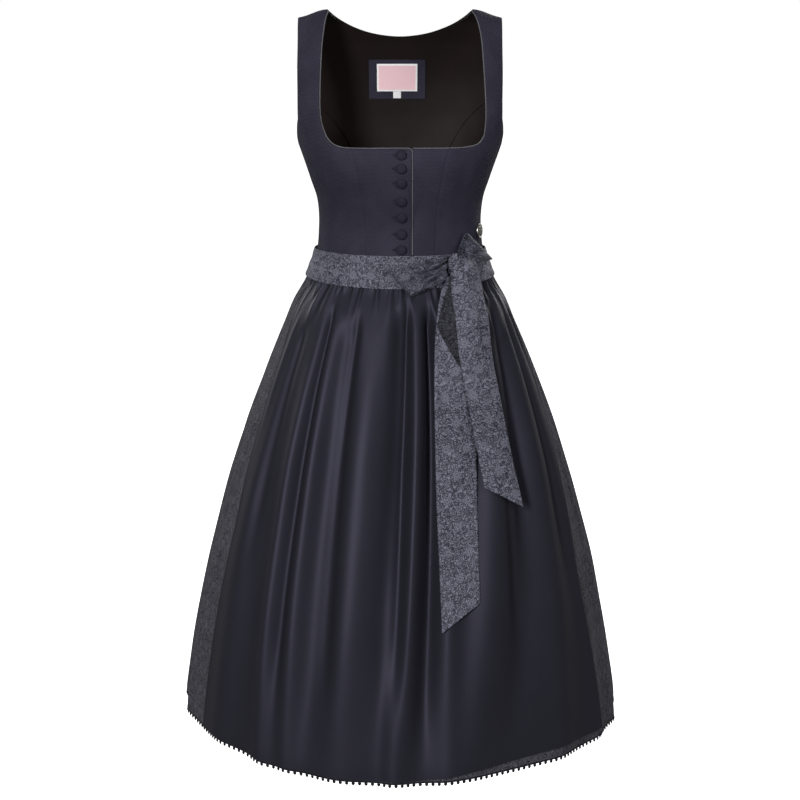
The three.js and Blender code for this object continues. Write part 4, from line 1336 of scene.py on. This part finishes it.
def apron():
    cloth = Cloth(form, APRON_WALL)
    share = columns(0, 1, 420)
    up = down_rows(96)
    right, left = APRON_EDGE(mix(HEM, APRON_TOP, up))
    angle = np.radians(mix(right, left, share))
    level = mix(apron_hem(angle), APRON_TOP, up)
    lift = apron_lift(angle, level)
    hem = np.exp(-(((up * APRON_LENGTH - HEM_DEPTH) / 2.2) ** 2))
    side = np.minimum(share, 1 - share) * APRON_WIDTH
    edge = np.exp(-(((side - SIDE_HEM) / 2) ** 2))
    lift = lift - HEM_DRAW * np.maximum(hem, edge)
    cloth.grid(angle, level, lift, ((share - 0.5) * APRON_WIDTH, up * APRON_LENGTH))
    return cloth.piece("apron", "apron_satin", APRON_SATIN, SKIRT_INSIDE)


apron_piece = apron()
stitch_angle = np.radians(np.linspace(APRON_EDGE(HEM)[0] + 0.6, APRON_EDGE(HEM)[1] - 0.6, 700))
stitch_level = apron_hem(stitch_angle) + 31
stitch_line = line_on(stitch_angle, stitch_level, apron_lift(stitch_angle, stitch_level) - 0.35)
hem_stitches = stitches("apron_hem_stitches", *stitch_line, "apron_satin", pitch=3, length=2.2)


# Band and ties
def band_lift(level):
    return BAND_LIFT(level)[0] + BAND_WALL


def band_bottom(angle):
    return BAND_BOTTOM - BAND_SAG * frontward(angle)


# Soft diagonal creases of the band: direction and level of the middle, slant, length, height
BAND_CREASES = [
    (-64, -352, 0.5, 16, 0.8),
    (-40, -366, -0.4, 22, -0.7),
    (-18, -356, 0.35, 26, 0.7),
    (-2, -368, 0.6, 20, -0.9),
    (12, -362, -0.5, 18, 0.9),
    (26, -352, -0.35, 20, 1.0),
    (48, -350, 0.3, 18, 0.9),
    (70, -362, 0.4, 20, -0.7),
    (110, -358, 0.3, 26, 0.8),
    (140, -366, -0.3, 24, -0.7),
    (170, -356, 0.25, 28, 0.8),
    (200, -364, -0.3, 26, -0.8),
    (232, -358, 0.35, 24, 0.7),
    (255, -366, -0.4, 20, -0.6),
]


# The radius by which the creases' lengths round the band are measured
BAND_ROUND = 125


def band_crease(angle, level):
    height = 0.25 * np.sin(level / 2.6 + 3 * np.sin(5 * angle))
    for direction, middle, slant, length, tall in BAND_CREASES:
        along = turned_by(angle, direction) * BAND_ROUND
        across_it = (level - middle) - along * slant
        height = height + tall * np.exp(-((along / length) ** 2) - ((across_it / 3.6) ** 2))
    return height


BAND_END = math.pi / 2 - 0.0002


def band(name, start, end):
    cloth = Cloth(form, BAND_WALL)
    share, down = columns(0, 1, 210), rows(1, 0, 30)
    angle = mix(start, end, share)
    level = mix(BAND_TOP, band_bottom(angle), down)
    cloth.grid(angle, level, band_lift(level) + band_crease(angle, level))
    piece = cloth.piece(name, "tie_jacquard", TIE_JACQUARD)


band("apron_band", -BAND_END, BAND_END)
band("tie_round_back", math.pi - BAND_END, math.pi + BAND_END)


# Bow
OVER_BAND = 6.4 + SEAM
KNOT_X, KNOT_LEVEL, KNOT_WIDE, KNOT_HIGH, KNOT_TALL = 74, -355, 13, 16, 10
KNOT_PROFILE = [(0.01, 0), (0.8, 0), (0.97, 0.18), (1, 0.42), (0.92, 0.7), (0.66, 0.92), (0.3, 1)]
KNOT_PROFILE += [(0.01, 1.01)]


def knot():
    """Longer than wide, with the cloth wound over it from top to bottom."""

    def wound(radius, height, turn):
        side, up = np.cos(turn) * radius / KNOT_WIDE, np.sin(turn) * radius / KNOT_WIDE
        wraps = np.cos(side * 7 + 1.2 * np.sin(up * 2.2 + 0.6)) + 0.45 * np.cos(side * 15 + up * 3)
        outward = smooth(height / KNOT_TALL, 0.1, 0.6)
        return radius * (1 + 0.05 * wraps * outward), height + 0.9 * wraps * outward

    place = stand_on(front_angle(KNOT_X, KNOT_LEVEL), KNOT_LEVEL, OVER_BAND - 0.5)
    cloth, tall = ("tie_jacquard", TIE_JACQUARD), KNOT_HIGH / KNOT_WIDE
    disc("bow_knot", KNOT_PROFILE, KNOT_WIDE, KNOT_TALL, 60, 96, place, *cloth, wound, tall)


knot()


# A loop's cloth runs out over the first share of its length, turns in the next one, and runs back. The
# turn takes up a share of the reach. Sharp creases run out from the knot: start, bend, depth, reach.
LOOP_OUT, LOOP_BACK, LOOP_TURN = 0.4, 0.6, 0.16
LOOP_CREASES = [
    (0.1, 0.1, 2.2, 0.5),
    (0.3, -0.14, 3, 0.75),
    (0.5, 0.16, 3.4, 0.6),
    (0.68, -0.1, 2.8, 0.8),
    (0.88, 0.08, 2, 0.5),
]


def bow_loop(name, root_a, root_b, end_a, end_b, half, flat, area, seed, crumpled):
    """A loop between two edges, a and b, each from its root at the knot to its end. half is half of
    how far the loop stands out."""

    def surface(u, v):
        u, v = np.broadcast_arrays(np.asarray(u, float), np.asarray(v, float))
        near, far = u / LOOP_OUT, (1 - u) / LOOP_OUT
        turn = (u - LOOP_OUT) / 0.2 * math.pi
        outward, inward = u < LOOP_OUT, u > LOOP_BACK
        pinch_near, pinch_far = (0.5 + 0.5 * smooth(s, 0, 0.45) for s in (near, far))
        straight = 1 - LOOP_TURN
        around = straight + LOOP_TURN * np.sin(turn)
        out = np.where(outward, near * straight, np.where(inward, far * straight, around))
        rise = np.where(outward, pinch_near, np.where(inward, -pinch_far, np.cos(turn)))
        x, level = (mix(mix(root_a[c], root_b[c], v), mix(end_a[c], end_b[c], v), out) for c in range(2))
        folds_near_knot = np.exp(-((out / 0.42) ** 2))
        wave = np.cos(2 * math.pi * (2.6 * v + 0.25 * np.sin(5 * out + seed)) + seed)
        puff = 1.6 * np.sin(math.pi * v) * smooth(out, 0.2, 0.7) * np.sign(rise)
        pleat = 3 * wave * folds_near_knot * smooth(out, -0.05, 0.12)
        swirl = np.sin(2 * math.pi * (1.5 * v - 1.9 * out) + 1.2 * np.sin(8 * out + 4 * v) + seed)
        swirl = crumpled * swirl * np.exp(-(((out - 0.38) / 0.3) ** 2)) * smooth(out, 0, 0.15)
        soft = 0.5 * np.sin(7 * out + 6 * v + seed)
        for start, bend, depth, reach in LOOP_CREASES:
            path = start + bend * np.sin(4.2 * out + seed + 9 * start)
            crease = np.exp(-(((v - path) / 0.045) ** 2)) * (1 - smooth(out, reach * 0.55, reach))
            soft = soft - 0.4 * crumpled * depth * crease
        front = smooth(rise, -0.2, 0.6)
        return on_front(x, level, OVER_BAND + half * (1 + rise) + front * (pleat + puff + swirl + soft))

    cloth = Cloth(surface, BAND_WALL)
    parts = ((0.002, 0.39, 60), (0.395, 0.605, 40), (0.61, 0.998, 50))
    u = np.concatenate([np.linspace(*part) for part in parts])[None]
    cloth.grid(u, rows(0.002, 0.998, 38))
    # The loops take the darker copy of the tie jacquard, which is painted shade.
    piece = cloth.piece(name, "tie_jacquard", TIE_PAINTED_SHADE)


INNER_LOOP = [61, -338.5], [60.5, -375], [-16.5, -361.5], [14, -398.5]
OUTER_LOOP = [84.3, -356], [76.6, -339], [122, -357], [88, -309]
bow_loop("bow_loop_inner", *INNER_LOOP, 7.5, (0.165, 0.045), 0.0071, 0.4, 4)
bow_loop("bow_loop_outer", *OUTER_LOOP, 5.5, (0.110, 0.055), 0.0046, 2.1, 2)

# Each hanging end's two edges: level, inner and outer
LONG_END = Sections(
    [-371, 62, 84],
    [-398, 54, 92],
    [-443, 47.5, 101],
    [-528, 46.5, 104],
    [-655, 49, 105],
    [-765, 53, 106.5],
    [-840, 55.5, 107],
)
SHORT_END = Sections(
    [-340, 74, 89],
    [-344, 71.5, 92.5],
    [-350, 69, 96],
    [-358, 67.5, 99],
    [-371, 67, 102],
    [-398, 69.5, 110],
    [-428, 73, 116],
    [-474, 78.5, 122.5],
    [-557, 93, 137],
    [-650, 109.5, 154],
    [-690, 117, 163],
)


# How far the short end stands out where it comes over the knot
KNOT_COVER = Sections(
    [-340, -7], [-344, 1], [-350, 9], [-358, 13], [-371, 12], [-387, 8.5], [-410, 5.5], [-440, 4], [-700, 3]
)


END_WIDE = 55
# The share of the long end that is folded over at its top, and the level where that begins
FOLDED_OVER, FOLD_FOOT = 0.24, -450


def tie_end(name, edges, layer, top, inner_end, outer_end, seed, twist=None):
    """A hanging end, which bridges the apron's folds. It is cut aslant, from inner_end to outer_end."""

    def bridge(level):
        inner, outer = edges(level)
        angles = (front_angle(mix(inner, outer, k), level) for k in np.linspace(0, 1, 9))
        ridges = np.max([folds(angle, level) for angle in angles], axis=0)
        apron_top = ridges + APRON_ROOM(level)[0] + APRON_WALL + GATHER_HEIGHT(level)[0] + 0.5
        lowest = np.maximum(apron_top, OVER_BAND) + TIE_CLEARANCE + BAND_WALL
        return lowest + layer * (BAND_WALL + TIE_CLEARANCE)

    def surface(u, level):
        inner, outer = edges(level)
        return on_front(mix(inner, outer, u), level, bridge(level))

    cloth = Cloth(surface, BAND_WALL)
    near = np.linspace(0, 0.06, 9)
    share = np.concatenate([near, np.linspace(0.08, 0.92, 46), 1 - near[::-1]])[None]
    end = mix(inner_end, outer_end, share)

    def part(start, stop, count, before=None):
        level = mix(start, stop, rows(1, 0, count))
        pinched = np.exp(-(np.maximum(APRON_TOP - level, 0) / 75))
        lift = 1.7 * pinched * (1 + np.cos(2 * math.pi * (1.6 * share + 0.1 * seed)))
        lift = lift + 1.1 * np.sin(level / 52 + seed) * np.sin(math.pi * share) ** 2 + 1.1
        lift = lift + 0.35 * np.sin(level / 11 + 2.5 * share + seed)
        # The narrow turned edges bend in.
        lift = lift - 1.3 * np.exp(-((np.minimum(share, 1 - share) * END_WIDE / 1.3) ** 2))
        if layer:
            lift = lift + KNOT_COVER(level)[0] * (1 - 0.85 * np.abs(2 * share - 1) ** 3.5)
        if twist:
            # The strip rolls over along a slanting line.
            away = level - mix(*twist, share)
            lift = lift + 2.2 * np.exp(-((away / 7) ** 2))
        inner, outer = edges(level)
        plan = ((share - 0.5) * (outer - inner), level)
        # Above the twist the reverse shows, darkened further by painted shade from the short end over it,
        # but for a strip along the inner edge that is folded over.
        folded = FOLDED_OVER * smooth(level[:, 1:], FOLD_FOOT, APRON_TOP)
        mark = 0 if before is None else share[:, 1:] > folded
        return cloth.grid(share, level, lift, plan, before, mark)

    if twist:
        roll = mix(*twist, share)
        lower = part(roll, end, 170)
        part(top, roll + 0.6, 60, lower[-1])
    else:
        part(top, end, 190)
    piece = cloth.piece(name, "tie_jacquard", TIE_JACQUARD, None, TIE_REVERSE_AND_SHADE if twist else None)


tie_end("tie_end_long", LONG_END, 0, -371.3, -840, -805, 1, twist=(-437, -531))
tie_end("tie_end_short", SHORT_END, 1, -343, -653, -688, 3)

# Stage: a pale floor far below the hem, a white surround and soft lights
FLOOR_LEVEL, FLOOR_HALF = -1.38, 30
floor_mesh = bpy.data.meshes.new("floor")
floor_corners = [
    (x * FLOOR_HALF, y * FLOOR_HALF, FLOOR_LEVEL) for x, y in ((-1, -1), (1, -1), (1, 1), (-1, 1))
]
floor_mesh.from_pydata(floor_corners, [], [(0, 1, 2, 3)])
floor = bpy.data.objects.new("floor", floor_mesh)
bpy.context.scene.collection.objects.link(floor)
WHITE = (1, 1, 1, 1)
pale, pale_surface = new_material("pale_floor", (0.9, 0.9, 0.9), 0.9, 0.1)
set_inputs(pale_surface, {"Emission Color": WHITE, "Emission Strength": 1})
floor_mesh.materials.append(pale)
# The floor is only seen: it throws no light back on the dress.
floor.visible_diffuse = False
floor.visible_glossy = False

# The surround looks white, and lights the dress only softly.
SURROUND = 0.16
world = bpy.data.worlds.new("studio")
bpy.context.scene.world = world
world.use_nodes = True
sky = world.node_tree
soft = sky.nodes["Background"]
set_inputs(soft, {"Color": WHITE, "Strength": SURROUND})
seen = add_node(sky, "ShaderNodeBackground", {"Color": WHITE, "Strength": 1})
rays = add_node(sky, "ShaderNodeLightPath", {})
shades = {0: rays.outputs["Is Camera Ray"], 1: soft.outputs[0], 2: seen.outputs[0]}
either = add_node(sky, "ShaderNodeMixShader", shades)
set_inputs(sky.nodes["World Output"], {"Surface": either.outputs[0]})

# Broad lamps: place and aim in metres, size and watts. The key stands low on the left of the camera, so
# that folds show, and the satin's sheen comes from it alone.
LAMPS = {
    "key": ((-1.2, -3.2, 0.7), (0, 0, -0.55), (0.6, 1.0), 102),
    "fill": ((2.3, -2.6, 0.4), (0, 0, -0.5), (1.0, 1.8), 44),
    "back_left": ((2.0, 2.8, 1.0), (0, 0, -0.5), (1.2, 1.8), 75),
    "back_right": ((-2.4, 2.4, 1.0), (0, 0, -0.5), (1.2, 1.8), 50),
}
for name, (place, aim, size, watts) in LAMPS.items():
    data = bpy.data.lights.new(name, "AREA")
    data.shape = "RECTANGLE"
    data.size, data.size_y = size
    data.energy = watts
    light = bpy.data.objects.new(name, data)
    bpy.context.scene.collection.objects.link(light)
    light.location = place
    light.rotation_euler = (Vector(aim) - Vector(place)).to_track_quat("-Z", "Y").to_euler()
    light.visible_glossy = name != "fill"
bpy.context.scene.view_settings.view_transform = "Standard"
